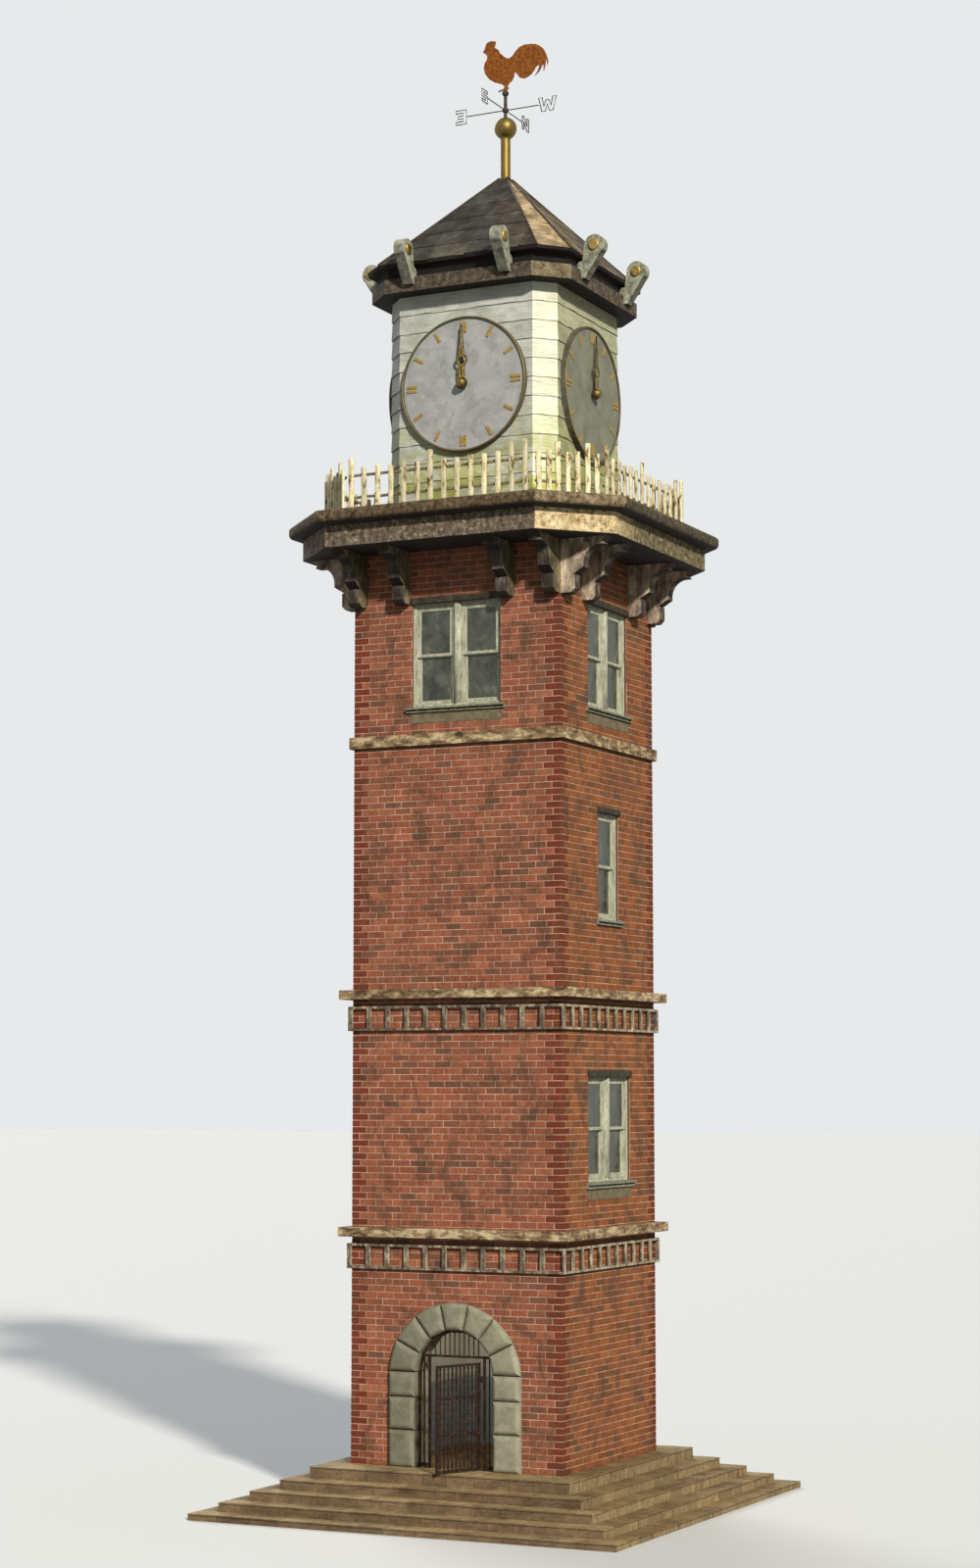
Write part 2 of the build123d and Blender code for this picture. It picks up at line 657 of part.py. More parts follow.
def spire(base_share, low):
    """The eight-sided roof solid, cut off just under its point, or a smaller one inside it."""
    height = (roof_apex - roof_low) * base_share * (1 - point_share)
    base = octagon(roof_half * base_share, roof_cut * base_share)
    point = octagon(roof_half * base_share * point_share, roof_cut * base_share * point_share)
    return loft([Pos(0, 0, low) * base, Pos(0, 0, low + height) * point])


roof_low = roof_edge + roof_edge_height
roof = prism(octagon(roof_half, roof_cut), roof_edge, roof_low) + spire(1, roof_low)
roof -= spire((roof_half - roof_rim) / roof_half, roof_edge)
roof_side = roof_half - roof_cut
wide_facet = (roof_half, roof_side, 0)
corner_facet = ((roof_half + roof_side) / ROOT_TWO, (roof_half - roof_side) / ROOT_TWO, QUARTER / 2)
panels = []
for half, side, turn in (wide_facet, corner_facet):
    nudge = mitre_gap * math.hypot(half, side) / side
    sector = Polygon((0, -nudge), (-2 * side, -2 * half - nudge), (2 * side, -2 * half - nudge), align=None)
    panels += all_round(roof & (Rot(0, 0, turn) * prism(sector, roof_edge, roof_apex)))
save("roof", *panels)

# Stone arms, drawn out from the axis and up
arm_plane = Plane(origin=(0, 0, 0), x_dir=(0, -1, 0), z_dir=(-1, 0, 0))
head_out, head_up = eaves_half + arm_head_out, eaves_top + arm_head_rise
foot_up = eaves_top - arm_foot_drop
lean = math.atan2(head_out - eaves_half, head_up - foot_up)
across = (arm_head_radius * math.cos(lean), arm_head_radius * math.sin(lean))
arm_profile = Pos(head_out, head_up) * Circle(arm_head_radius)
arm_profile += Polygon((eaves_half, foot_up), (eaves_half + arm_foot_width, foot_up),
                       (head_out + across[0], head_up - across[1]), (head_out - across[0], head_up + across[1]),
                       (head_out - arm_head_radius, head_up), (eaves_half, eaves_top), align=None)
arm_profile += Pos(eaves_half, eaves_top + arm_lobe_radius) * Circle(arm_lobe_radius)
arm_profile += Pos(eaves_half, eaves_top + arm_lobe_radius / 2) * Rectangle(2 * arm_lobe_radius, arm_lobe_radius)
arm = extrude(arm_plane * arm_profile, arm_thickness / 2, both=True)
disc = extrude(arm_plane.offset(arm_thickness / 2) * Pos(head_out, head_up) * Circle(disc_radius), disc_reach)
disc = fillet(disc.faces().sort_by(Axis.X)[0].edges(), disc_reach * disc_round_share)
arms, discs = [], []
for sign in (-1, 1):
    arms += all_round(Pos(sign * arm_offset, 0, 0) * arm)
    discs += all_round(Pos(sign * arm_offset, 0, 0) * disc)
    discs += all_round(Pos(sign * arm_offset, 0, 0) * mirror(disc, Plane.YZ))
save("roof_arms", *arms)
save("roof_arm_discs", *discs)

# Finial, compass and weathercock
ball_centre = roof_apex + ball_rise
finial = rod(0, 0, roof_apex - post_sink, ball_centre, post_radius) + Pos(0, 0, ball_centre) * Sphere(ball_radius)
neck = [edge for edge in finial.edges().filter_by(GeomType.CIRCLE)
        if ball_centre - ball_radius < edge.center().Z < ball_centre]
finial = fillet(neck, neck_round)
finial -= roof
save("finial", finial)

top_ball_centre = roof_apex + top_ball_rise
spindle_top = top_ball_centre - top_ball_radius
pin_top = top_ball_centre + top_ball_radius * (pin_share - 1 / 2)
hub_height = roof_apex + hub_rise
compass = rod(0, 0, ball_centre, spindle_top - hinge_gap / 2, spindle_radius)
compass += Pos(0, 0, hub_height) * Sphere(hub_knob_radius)
for side, reach in enumerate(compass_reaches):
    arm = Pos(0, -reach / 2, hub_height) * Rot(QUARTER, 0, 0) * Cylinder(compass_rod, reach)
    compass += turned(arm, side)
compass += rod(0, 0, hub_height, pin_top, pin_radius)
compass -= Pos(0, 0, ball_centre) * Sphere(ball_radius)
save("compass", compass)
cock_foot = roof_apex + cock_rise
cock_plane = Plane(origin=(0, 0, cock_foot), x_dir=(1, 0, 0), z_dir=(0, -1, 0))
outline = [(cock_length * across, cock_height * up) for across, up in cock_shares]
cock = extrude(cock_plane * Polygon(*outline, align=None), cock_thickness / 2, both=True)
cock += Pos(0, 0, top_ball_centre) * Sphere(top_ball_radius)
cock -= rod(0, 0, spindle_top - seat_gap, pin_top + seat_gap, pin_radius + seat_gap)
save("weathercock", cock)
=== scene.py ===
import json
import math

import bmesh
import bpy
import numpy as np
from mathutils import Matrix, Vector


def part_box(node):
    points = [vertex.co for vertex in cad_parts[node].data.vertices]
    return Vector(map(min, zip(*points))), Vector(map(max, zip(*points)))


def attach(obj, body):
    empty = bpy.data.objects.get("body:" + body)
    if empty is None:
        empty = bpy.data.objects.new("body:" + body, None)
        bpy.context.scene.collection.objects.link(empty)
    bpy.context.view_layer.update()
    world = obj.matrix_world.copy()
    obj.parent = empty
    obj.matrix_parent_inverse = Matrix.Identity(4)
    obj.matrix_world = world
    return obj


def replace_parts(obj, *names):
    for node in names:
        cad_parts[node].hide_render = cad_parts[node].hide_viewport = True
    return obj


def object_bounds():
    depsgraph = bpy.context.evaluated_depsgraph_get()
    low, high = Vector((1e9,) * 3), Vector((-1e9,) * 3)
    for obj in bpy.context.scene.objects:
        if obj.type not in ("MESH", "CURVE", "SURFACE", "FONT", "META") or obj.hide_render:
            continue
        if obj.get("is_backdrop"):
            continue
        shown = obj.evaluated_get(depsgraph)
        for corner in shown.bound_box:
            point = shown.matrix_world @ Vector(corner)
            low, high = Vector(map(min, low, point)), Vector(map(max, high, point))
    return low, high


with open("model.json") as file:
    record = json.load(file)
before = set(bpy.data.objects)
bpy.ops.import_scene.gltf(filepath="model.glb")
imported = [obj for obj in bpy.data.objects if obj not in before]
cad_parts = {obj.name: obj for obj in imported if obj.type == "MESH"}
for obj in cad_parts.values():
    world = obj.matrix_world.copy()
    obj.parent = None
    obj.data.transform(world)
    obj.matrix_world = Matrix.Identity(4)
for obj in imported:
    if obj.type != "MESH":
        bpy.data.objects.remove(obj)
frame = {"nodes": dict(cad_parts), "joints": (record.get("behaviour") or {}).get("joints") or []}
CAD_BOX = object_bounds()

# Sizes are in metres, angles in radians, and colours are linear.
QUARTER = math.pi / 2
MITRE = math.tan(math.pi / 8)
SIDES = ("front", "right", "back", "left")
SQUARE_SIDES = [index * QUARTER for index in range(4)]
EIGHT_SIDES = [index * QUARTER / 2 for index in range(8)]
WHITE = (1.0, 1.0, 1.0)

# Camera and light
CAMERA_PLACE = (22.666, -47.148, 7.213)
CAMERA_TURN = [math.radians(turn) for turn in (95.9446, 0.0, 25.9877)]
CAMERA_LENS, CAMERA_SENSOR = 67.2255, 36.0
# Each distant lamp's azimuth from front to right, height over the horizon, strength, spread and colour
LAMPS = {"sun": (math.radians(46), math.radians(28), 4.0, math.radians(4), (1.0, 0.95, 0.86)),
         "fill": (math.radians(228), math.radians(30), 1.7, math.radians(30), (0.90, 0.95, 1.0))}
SKY_LIGHT, SKY_STRENGTH, SKY_SHOWN = (0.88, 0.94, 1.0), 0.27, (0.80, 0.82, 0.83)
FLOOR_SHOWN, FLOOR_BOUNCE, FLOOR_ROUGHNESS = (0.72, 0.72, 0.70), (0.22, 0.22, 0.20), 0.95
FLOOR_HALF, FLOOR_DROP = 400.0, 0.004
ROOM_LAMP_POWER, ROOM_LAMP_SIZE = 32.0, 0.8
ROOM_LAMP_PLACE, ROOM_LAMP_TARGET = Vector((0.3, -1.3, 4.2)), Vector((0.3, 1.6, 2.0))

# Sizes read from the frame
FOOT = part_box("platform")[1].z
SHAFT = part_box("back_wall")[1].y
SHAFT_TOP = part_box("back_wall")[1].z
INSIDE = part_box("right_wall")[0].x
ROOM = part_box("clock_walls")[1].x
ROOM_LOW, ROOM_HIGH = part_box("clock_walls")[0].z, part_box("clock_walls")[1].z
DECK_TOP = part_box("balcony_deck")[1].z
ROOF_LOW, ROOF_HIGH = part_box("roof")[0].z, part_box("roof")[1].z
ROOF_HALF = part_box("roof")[1].x

# Digits to which corners and levels are told apart
CORNER_DIGITS, LEVEL_DIGITS = 4, 3

# Bricks
COURSE, BRICKS_IN_ROW, JOINT, JOINT_SHIFT = 0.113, 11, 0.016, 0.03
QUOIN_LONG, QUOIN_SHORT = 0.305, 0.155
BRICK_PROUD, BRICK_CHAMFER, BRICK_UNEVEN, BRICK_LEAST = 0.007, 0.003, 0.002, 0.008
BRICK_COLOURS = ((0.335, 0.106, 0.055), (0.385, 0.132, 0.068), (0.285, 0.102, 0.057), (0.215, 0.090, 0.052))
BRICK_SHARES = (0.50, 0.20, 0.18, 0.12)
BRICK_SEED, BRICK_SPREAD = 100, 0.14
# The flank tint is partly olive grime and partly painted light, for how light falls on the flanks
QUOIN_COLOUR, FLANK_GRIME_AND_LIGHT = (0.200, 0.043, 0.020), (0.88, 0.90, 0.54)

# Widths of the worn edges of CAD nodes, and how they are rounded
EDGES = {"lower_cornice": 0.012, "upper_cornice": 0.012, "plain_band": 0.012, "balcony_fascia": 0.012,
         "balcony_brackets": 0.008, "window_stones": 0.008, "eaves": 0.010, "friezes": 0.005,
         "gate_frame": 0.004}
EDGE_WELD, EDGE_STEPS, EDGE_ANGLE = 0.00005, 2, math.radians(40)

# Windows
APRON_DROP, APRON_SIDE, APRON_PROUD, APRON_LEAST_WIDTH = 0.19, 0.03, 0.012, 1.2
DENTIL_WIDTH, DENTIL_PITCH, DENTIL_HEIGHT, DENTIL_REACH = 0.034, 0.058, 0.030, 0.022
SILL_REACH, SILL_TIER_SHARE, SILL_STEP = 0.2, 0.54, 0.040
# Near-black strips along the sills' step, painted shadow
SLOT_PITCH, SLOT_GAP, SLOT_HEIGHT, SLOT_PROUD = 0.24, 0.022, 0.022, 0.002
LATCH_WIDTH, LATCH_HEIGHT, LATCH_REACH, LATCH_SHARE = 0.03, 0.11, 0.03, 0.12
PUTTY_WIDTH, PUTTY_REACH = 0.013, 0.016
STRIP_WIDTH, STRIP_REACH = 0.017, 0.010
POST_HALF, POST_REACH, POST_STEPS, POST_FOOT = 0.072, 0.055, 9, 0.045

# Fills of the open mitres
MITRE_HALF, MITRE_DEEP, MITRE_SUNK = 0.020, 0.25, 0.0006

# Steps and paving
STONE_LENGTHS, STONE_SEED, STONE_SPREAD = (0.42, 0.66), 7, 0.2
STONE_PROUD, STONE_TOP, STONE_JOINT, STONE_CHAMFER = 0.013, 0.005, 0.008, 0.006
STONE_TUCK, STONE_UNEVEN = 0.012, 0.002
TREAD_THICK, TREAD_LAP, TREAD_GAP = 0.024, 0.009, 0.011
FLANK_TREAD = (0.70, 0.66, 0.60)
PAVING_PIECES, PAVING_TINT = 5, (0.56, 0.46, 0.42)

# Gate
LEAF_HALF, LEAF_BARS, LEAF_REST = 0.470, 10, math.radians(65)
LEAF_LOW, LEAF_HEIGHT = FOOT + 0.028, 1.776
GATE_FACE, GATE_BAR = 1.950, 0.040
TWIST_WIDE, TWIST_THIN, TWIST_HALF_TURN, TWIST_STEP = 0.032, 0.017, 0.115, 0.0192

# Balcony railing
RUNS = ("front", "front_right", "right", "back_right", "back", "back_left", "left", "front_left")
STAKE_RINGS, STAKE_SIDES, STAKE_POWER = 9, 10, 0.35
STAKE_UNEVEN, STAKE_DRIFT, STAKE_SWELL = 0.07, 0.005, 1.06
STAKE_SHOULDER_SHARE, STAKE_TIP_SHARE, STAKE_DEPTH_SHARE, STAKE_SLANT = 0.985, 0.8, 0.3, 0.18
STAKE_TINT, STAKE_SPREAD, STAKE_SEED, STAKE_APART = (1.0, 0.97, 0.92), 0.16, 300, 0.1
RAIL_LEVELS, RAIL_TALL, RAIL_DEEP, RAIL_CLEAR = (0.252, 0.645), 0.048, 0.040, 0.01
RAIL_STEP, RAIL_SPREAD = 0.14, 0.2

# Weatherboards of the clock room
ROOM_CUT = 0.326
BOARD_ROWS, BOARD_LAP, BOARD_THIN, BOARD_STEP, BOARD_WAVE = 12, 0.024, 0.007, 0.17, 0.009
BOARD_TINT, BOARD_SPREAD, BOARD_SEED = (0.95, 0.95, 0.95), 0.1, 11

# Dials and hands
DIAL_CENTRE = 19.611
MARK_INNER, MARK_OUTER, MARK_WIDTH, MARK_THICK, MARK_SUNK = 0.925, 1.122, 0.058, 0.014, 0.030
PAIR_WIDTH, PAIR_OFFSET = 0.052, 0.037
RIM_RING, RIM_TUBE, RING_STEPS, TUBE_SIDES = 1.203, 0.013, 96, 8
HAND_REACH, HAND_ROOT_HALF, HAND_TIP_HALF = 1.060, 0.062, 0.009
HAND_RING_AT, HAND_RING = 0.408, 0.116
HUB_RADIUS, CAP_RADIUS, CAP_RISE, CAP_SUNK = 0.104, 0.082, 0.045, 0.004
CAP_SIDES, CAP_RINGS, CAP_FLAT = 24, 6, 0.6
BEAD, BEAD_PITCH, BEAD_SIDES, BEAD_LIFT_SHARES = 0.011, 0.027, 6, (-0.8, -0.3, 0.3, 0.8)

# Roof slates: the colours of front, corner, flank and corner facets, which paint light and shade on each
# facet, and what varies them
ROOF_CUT, ROOF_EDGE, ROOF_POINT_SHARE, ROOF_BARE_SHARE = 0.441, 0.055, 0.03, 0.048
SLATE_ROWS, SLATE_LENGTHS, SLATE_LAP, SLATE_THIN, SLATE_JOINT = 6, (0.34, 0.62), 0.011, 0.005, 0.004
FACET_LIGHT_TINTS = ((0.51, 0.51, 0.50), (3.9, 3.3, 2.3), (1.0, 0.92, 0.75), (3.9, 3.3, 2.3))
SLATE_MOODS = (WHITE, (1.75, 1.68, 1.55), (1.05, 0.84, 0.72))
SLATE_MOOD_SHARES, SLATE_JAG_SHARE, SLATE_SEED = (0.55, 0.25, 0.20), 0.012, 23
CORNER_LAP_SHARE, CORNER_SPREAD, SLATE_SPREAD = 0.35, 0.10, 0.22
HIP_RADIUS, HIP_SIDES, HIP_LIFT_SHARE = 0.020, 8, 0.6

# Compass letters: outlines in shares of each letter's width, outwards from the axis, and of its height
WIRE, WIRE_SIDES, ARM_TIP = 0.010, 6, 0.05
COCK_BALL = 0.064
LETTER_SHARES = {
    "E": ((0, 0), (1, 0), (1, 0.2), (0.3, 0.2), (0.3, 0.4), (0.8, 0.4), (0.8, 0.6), (0.3, 0.6), (0.3, 0.8),
          (1, 0.8), (1, 1), (0, 1)),
    "N": ((0, 0), (0.25, 0), (0.25, 0.6), (0.75, 0), (1, 0), (1, 1), (0.75, 1), (0.75, 0.4), (0.25, 1),
          (0, 1)),
    "S": ((1, 0), (0, 0), (0, 0.6), (0.7, 0.6), (0.7, 0.8), (0, 0.8), (0, 1), (1, 1), (1, 0.4), (0.3, 0.4),
          (0.3, 0.2), (1, 0.2)),
    "W": ((0, 1), (0.2, 1), (0.3, 0.35), (0.42, 0.8), (0.58, 0.8), (0.7, 0.35), (0.8, 1), (1, 1), (0.82, 0),
          (0.62, 0), (0.5, 0.5), (0.38, 0), (0.18, 0)),
}
# Side number, width and height of each letter; the front arm is side 0
LETTER_PLACES = {"S": (0, 0.225, 0.228), "W": (1, 0.355, 0.264), "N": (2, 0.270, 0.256),
                 "E": (3, 0.215, 0.268)}


# Mesh pieces

class Shapes:
    """Many small solids gathered into one mesh, each with a tint of its own."""

    def __init__(self):
        self.points, self.faces, self.tints = [], [], []

    def loft(self, rings, tint=WHITE, closed=False):
        """Joins rings of as many points each, and caps the ends unless the loft runs round to its start."""
        start, count = len(self.points), len(rings[0])
        for ring in rings:
            self.points.extend(tuple(point) for point in ring)
        self.tints.extend([(*tint, 1.0)] * (count * len(rings)))
        for level in range(len(rings) if closed else len(rings) - 1):
            low = start + level * count
            high = start + (level + 1) % len(rings) * count
            for index in range(count):
                after = (index + 1) % count
                self.faces.append((low + index, low + after, high + after, high + index))
        if not closed:
            end = len(self.points)
            self.faces.append(tuple(reversed(range(start, start + count))))
            self.faces.append(tuple(range(end - count, end)))

    def build(self, name, look, slot, body="tower", smooth=False):
        """Makes the mesh, with its faces turned outwards, and hangs it on its body."""
        mesh = bpy.data.meshes.new(name)
        mesh.from_pydata(self.points, [], self.faces)
        tints = mesh.attributes.new("tint", "FLOAT_COLOR", "POINT")
        tints.data.foreach_set("color", np.array(self.tints, np.float32).ravel())
        work = bmesh.new()
        work.from_mesh(mesh)
        bmesh.ops.recalc_face_normals(work, faces=work.faces)
        work.to_mesh(mesh)
        work.free()
        mesh.polygons.foreach_set("use_smooth", [smooth] * len(mesh.polygons))
        mesh.materials.append(LOOKS[look])
        piece = bpy.data.objects.new(name, mesh)
        bpy.context.scene.collection.objects.link(piece)
        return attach(piece, body)


def facing(points, angle):
    """Turns points given as (along, out, up) on the front about the tower's axis to another face."""
    points = np.asarray(points, float)
    along, out, up = points[..., 0], points[..., 1], points[..., 2]
    turned_x = along * math.cos(angle) + out * math.sin(angle)
    turned_y = along * math.sin(angle) - out * math.cos(angle)
    return np.stack((turned_x, turned_y, up), axis=-1)


def unfolded(points, angle):
    """How far rows of x, y and z lie along and out from the axis, as seen on the face at an angle."""
    x, y, _ = points.T
    return x * math.cos(angle) + y * math.sin(angle), x * math.sin(angle) - y * math.cos(angle)


def around(count, shift=0.0):
    """Angles spread evenly round a circle."""
    return [2 * math.pi * (step + shift) / count for step in range(count)]


def block(shapes, left, right, first, last, back, front, chamfer, angle, tint=WHITE, lying=False):
    """A block with its front edges chamfered: on a wall, from first up to last, or lying on its back.

    One that lies has its front on top, and first is its outer edge and last its inner one.
    """
    rings = []
    for inset, level in ((0, back), (0, front - chamfer), (chamfer, front)):
        low, high = (first - inset, last + inset) if lying else (first + inset, last - inset)
        corners = ((left + inset, low), (right - inset, low), (right - inset, high), (left + inset, high))
        rings.append(facing([(a, b, level) if lying else (a, level, b) for a, b in corners], angle))
    shapes.loft(rings, tint)


def tube(shapes, path, radius, sides, closed=False):
    """A round wire along a path of points."""
    path = [Vector(point) for point in path]
    rings = []
    for index, point in enumerate(path):
        before = path[index - 1] if closed or index else point
        after = path[(index + 1) % len(path)] if closed or index + 1 < len(path) else point
        ahead = (after - before).normalized()
        spare = Vector((0, 0, 1)) if abs(ahead.z) < 0.9 else Vector((1, 0, 0))
        across = ahead.cross(spare).normalized()
        rise = across.cross(ahead)
        rings.append([point + radius * (across * math.cos(turn) + rise * math.sin(turn))
                      for turn in around(sides)])
    shapes.loft(rings, closed=closed)


def corners_of(node):
    """The corner points of a CAD node, as rows of x, y and z."""
    return np.array([vertex.co for vertex in frame["nodes"][node].data.vertices])


def levels_of(node):
    """The heights at which a CAD node has corners, from the lowest up."""
    return sorted({round(float(up), LEVEL_DIGITS) for up in corners_of(node)[:, 2]})


def islands(node):
    """The box of every separate solid of a CAD node, as rows of lowest and highest corner."""
    mesh = frame["nodes"][node].data
    places = {}
    index_of = [places.setdefault(tuple(round(value, CORNER_DIGITS) for value in vertex.co), len(places))
                for vertex in mesh.vertices]
    parent = list(range(len(places)))

    def root(index):
        while parent[index] != index:
            parent[index] = parent[parent[index]]
            index = parent[index]
        return index

    for face in mesh.polygons:
        first = root(index_of[face.vertices[0]])
        for vertex in face.vertices[1:]:
            parent[root(index_of[vertex])] = first
    groups = {}
    for place, index in places.items():
        groups.setdefault(root(index), []).append(place)
    return [np.array((np.min(group, axis=0), np.max(group, axis=0))) for group in groups.values()]


def on_sides(node):
    """Boxes of a node's solids by side: lists of (left, right, low, high, nearest out, farthest out)."""
    sides = [[] for _ in SIDES]
    for corners in islands(node):
        middle = corners.mean(axis=0)
        side = round(math.atan2(middle[0], -middle[1]) / QUARTER) % 4
        along, out = unfolded(corners, SQUARE_SIDES[side])
        sides[side].append((min(along), max(along), *corners[:, 2], min(out), max(out)))
    return sides


def octagon_faces(half, cut):
    """(angle, half length, distance out) of the eight faces of an octagon with cut corners."""
    root_two = math.sqrt(2)
    sizes = ((half - cut, half), (cut / root_two, (2 * half - cut) / root_two))
    return [(angle, *sizes[index % 2]) for index, angle in enumerate(EIGHT_SIDES)]


def times(colour, tint):
    return tuple(value * share for value, share in zip(colour, tint))


def shaded(colour, rng, spread):
    """A colour made a little lighter or darker."""
    share = 1 + spread * (2 * rng.random() - 1)
    return tuple(value * share for value in colour)


def lengths(rng, total, least, most):
    """Uneven stone lengths that add up to a total, as the places of their joints."""
    count = max(1, round(2 * total / (least + most)))
    shares = rng.uniform(least, most, count)
    return np.concatenate(([0.0], np.cumsum(shares) / shares.sum() * total)) - total / 2


# Materials

ROUND, UPRIGHT_RUNS = (1, 1, 1), (1, 1, 9)
PATCH_RUN, GRAIN_DARK, WORN = (0.34, 0.66), (0.66, 0.66, 0.66), (0.72, 0.95)


class Nodes:
    """A node tree, with what makes and links its nodes."""

    def __init__(self, tree):
        self.tree = tree

    def feed(self, socket, value):
        """Links an output to a socket, or sets the socket to a number, a list or, from a tuple, a colour."""
        if isinstance(value, bpy.types.NodeSocket):
            self.tree.links.new(value, socket)
        else:
            socket.default_value = (*value, 1.0) if isinstance(value, tuple) else value

    def node(self, kind, feeds=None, **settings):
        """Makes a node, feeds its sockets and gives its outputs."""
        made = self.tree.nodes.new("ShaderNode" + kind)
        for key, value in settings.items():
            setattr(made, key, value)
        for socket, value in (feeds or {}).items():
            self.feed(made.inputs[socket], value)
        return made.outputs

    def maths(self, operation, first, second=0.0):
        return self.node("Math", {0: first, 1: second}, operation=operation)["Value"]


class Look(Nodes):
    """A procedural material: nodes round one principled shader, in the piece's own coordinates."""

    def __init__(self, name, roughness, metallic=0.0, gloss=0.2):
        self.material = bpy.data.materials.new(name)
        self.material.use_nodes = True
        super().__init__(self.material.node_tree)
        self.shader = self.tree.nodes["Principled BSDF"].inputs
        self.shader["Roughness"].default_value = roughness
        self.shader["Metallic"].default_value = metallic
        self.shader["Specular IOR Level"].default_value = gloss
        self.place = self.node("TexCoord")["Object"]

    def noise(self, size, detail=4.0, stretch=ROUND, distortion=0.0, jagged=0.6):
        """Cloudy noise with features of about that size, drawn out along axes with a stretch above one."""
        scale = [1 / (size * share) for share in stretch]
        place = self.node("Mapping", {"Vector": self.place, "Scale": scale})["Vector"]
        return self.node("TexNoise", {"Vector": place, "Scale": 1.0, "Detail": detail, "Roughness": jagged,
                                      "Distortion": distortion})["Fac"]

    def clouds(self, size, stretch=ROUND, detail=7.0, distortion=0.3, jagged=0.68):
        """Ragged noise for large patches."""
        return self.noise(size, detail, stretch, distortion, jagged)

    def ramp(self, value, *stops):
        """Colours along a value, as (place, colour) stops."""
        made = self.tree.nodes.new("ShaderNodeValToRGB")
        self.feed(made.inputs["Fac"], value)
        elements = made.color_ramp.elements
        elements.remove(elements[1])
        elements[0].position = stops[0][0]
        elements[0].color = (*stops[0][1], 1.0)
        for place, colour in stops[1:]:
            elements.new(place).color = (*colour, 1.0)
        return made.outputs["Color"]

    def patches(self, value, colours, run=PATCH_RUN):
        """Spreads colours evenly over a run of a noise."""
        return self.ramp(value, *zip(np.linspace(*run, len(colours)), colours))

    def between(self, value, low, high, start=0.0, end=1.0):
        """The value's run from low to high, stretched to run from start to end."""
        return self.node("MapRange", {"Value": value, "From Min": low, "From Max": high, "To Min": start,
                                      "To Max": end})["Result"]

    def mix(self, amount, first, second, blend="MIX"):
        return self.node("Mix", {0: amount, 6: first, 7: second}, data_type="RGBA", blend_type=blend)[2]

    def times(self, colour, tint):
        return self.mix(1.0, colour, tint, "MULTIPLY")

    def grained(self, colour, fine, dark=GRAIN_DARK, low=0.32, high=0.62):
        """Darkens a colour along a fine noise."""
        return self.times(colour, self.ramp(fine, (low, dark), (high, WHITE)))

    def spotted(self, colour, noise, low, high, amount, spots):
        """Lays another colour on where a noise runs from low to high."""
        return self.mix(self.between(noise, low, high, 0.0, amount), colour, spots)

    def tint(self):
        return self.node("Attribute", attribute_name="tint")["Color"]

    def axis(self, name):
        return self.node("SeparateXYZ", {"Vector": self.place})[name]

    def reach(self, name):
        """How far a point lies from the tower's axis along X or Y."""
        return self.maths("ABSOLUTE", self.axis(name))

    def lean(self, name):
        """One part of the face's direction."""
        return self.node("SeparateXYZ", {"Vector": self.node("NewGeometry")["True Normal"]})[name]

    def under(self, colour, dark):
        """Darkens what faces down, as painted shade."""
        return self.mix(self.between(self.lean("Z"), -0.35, -0.8), colour, dark)

    def looking(self, name, low=0.8, high=0.95):
        """How far a face looks along an axis, either way: from none to all of it."""
        return self.between(self.maths("ABSOLUTE", self.lean(name)), low, high)

    def flank(self, colour, tint):
        """Dulls the faces that look to the flanks, as painted shade."""
        return self.mix(self.looking("X"), colour, self.times(colour, tint))

    def sunlit_corners(self):
        """The faces that stand across the corners of the walls, on the two corners that face the light: a
        mask for painted light.
        """
        return self.between(self.maths("MULTIPLY", self.lean("X"), self.lean("Y")), -0.05, -0.2)

    def finish(self, colour, fine, roughness, *bumps):
        """Paints the surface, varies its roughness along a noise, and adds bumps, as (noise, depth)."""
        self.feed(self.shader["Base Color"], colour)
        self.feed(self.shader["Roughness"], self.between(fine, 0.3, 0.7, *roughness))
        before = {}
        for height, depth in bumps:
            feeds = {"Height": height, "Strength": 1.0, "Distance": depth, **before}
            normal = self.node("Bump", feeds)["Normal"]
            before = {"Normal": normal}
        self.feed(self.shader["Normal"], normal)
        return self.material


# The streak colour is run-off dirt; the under colour is near-black painted shade for faces that look down
STREAK_COLOUR, UNDER_SHADE = (0.05, 0.04, 0.03), (0.012, 0.009, 0.007)


def weathered(name, colours, patch, grain, depth, tinted=False, stretch=ROUND, streaks=0.0,
              streak_colour=STREAK_COLOUR, under=False, pale=None, flank=None, light_spill=None, run=PATCH_RUN,
              roughness=WORN):
    """A worn surface: patches of several colours, fine grain, run-off streaks, and undersides darkened as
    painted shade if asked.

    Flanks can have colours of their own, as painted light and shade, and the corners that face the light
    paler ones, as painted light that also spills onto the flanks beside them.
    """
    look = Look(name, roughness[1])
    clouds, fine = look.clouds(patch, stretch), look.noise(grain, stretch=stretch)
    colour = look.patches(clouds, colours, run)
    # Faces looking to the flanks take their own colours, as painted light and shade
    if flank:
        colour = look.mix(look.looking("X"), colour, look.patches(clouds, flank, run))
    # Paler colours on the corners that face the light, and their spill onto the flanks beside them, are
    # painted light
    if pale:
        lit_corner = look.sunlit_corners()
        if light_spill:
            near = look.between(look.maths("MULTIPLY", look.axis("Y"), look.lean("X")), *light_spill)
            lit_corner = look.maths("MAXIMUM", lit_corner, look.maths("MULTIPLY", look.looking("X"), near))
        colour = look.mix(lit_corner, colour, look.patches(clouds, pale, run))
    colour = look.grained(colour, fine)
    if tinted:
        colour = look.times(colour, look.tint())
    if streaks:
        runs = look.noise(0.10, stretch=UPRIGHT_RUNS)
        colour = look.spotted(colour, runs, 0.50, 0.72, streaks, streak_colour)
    # Undersides darkened as painted shade
    if under:
        colour = look.under(colour, UNDER_SHADE)
    return look.finish(colour, fine, roughness, (clouds, depth * 2), (fine, depth))


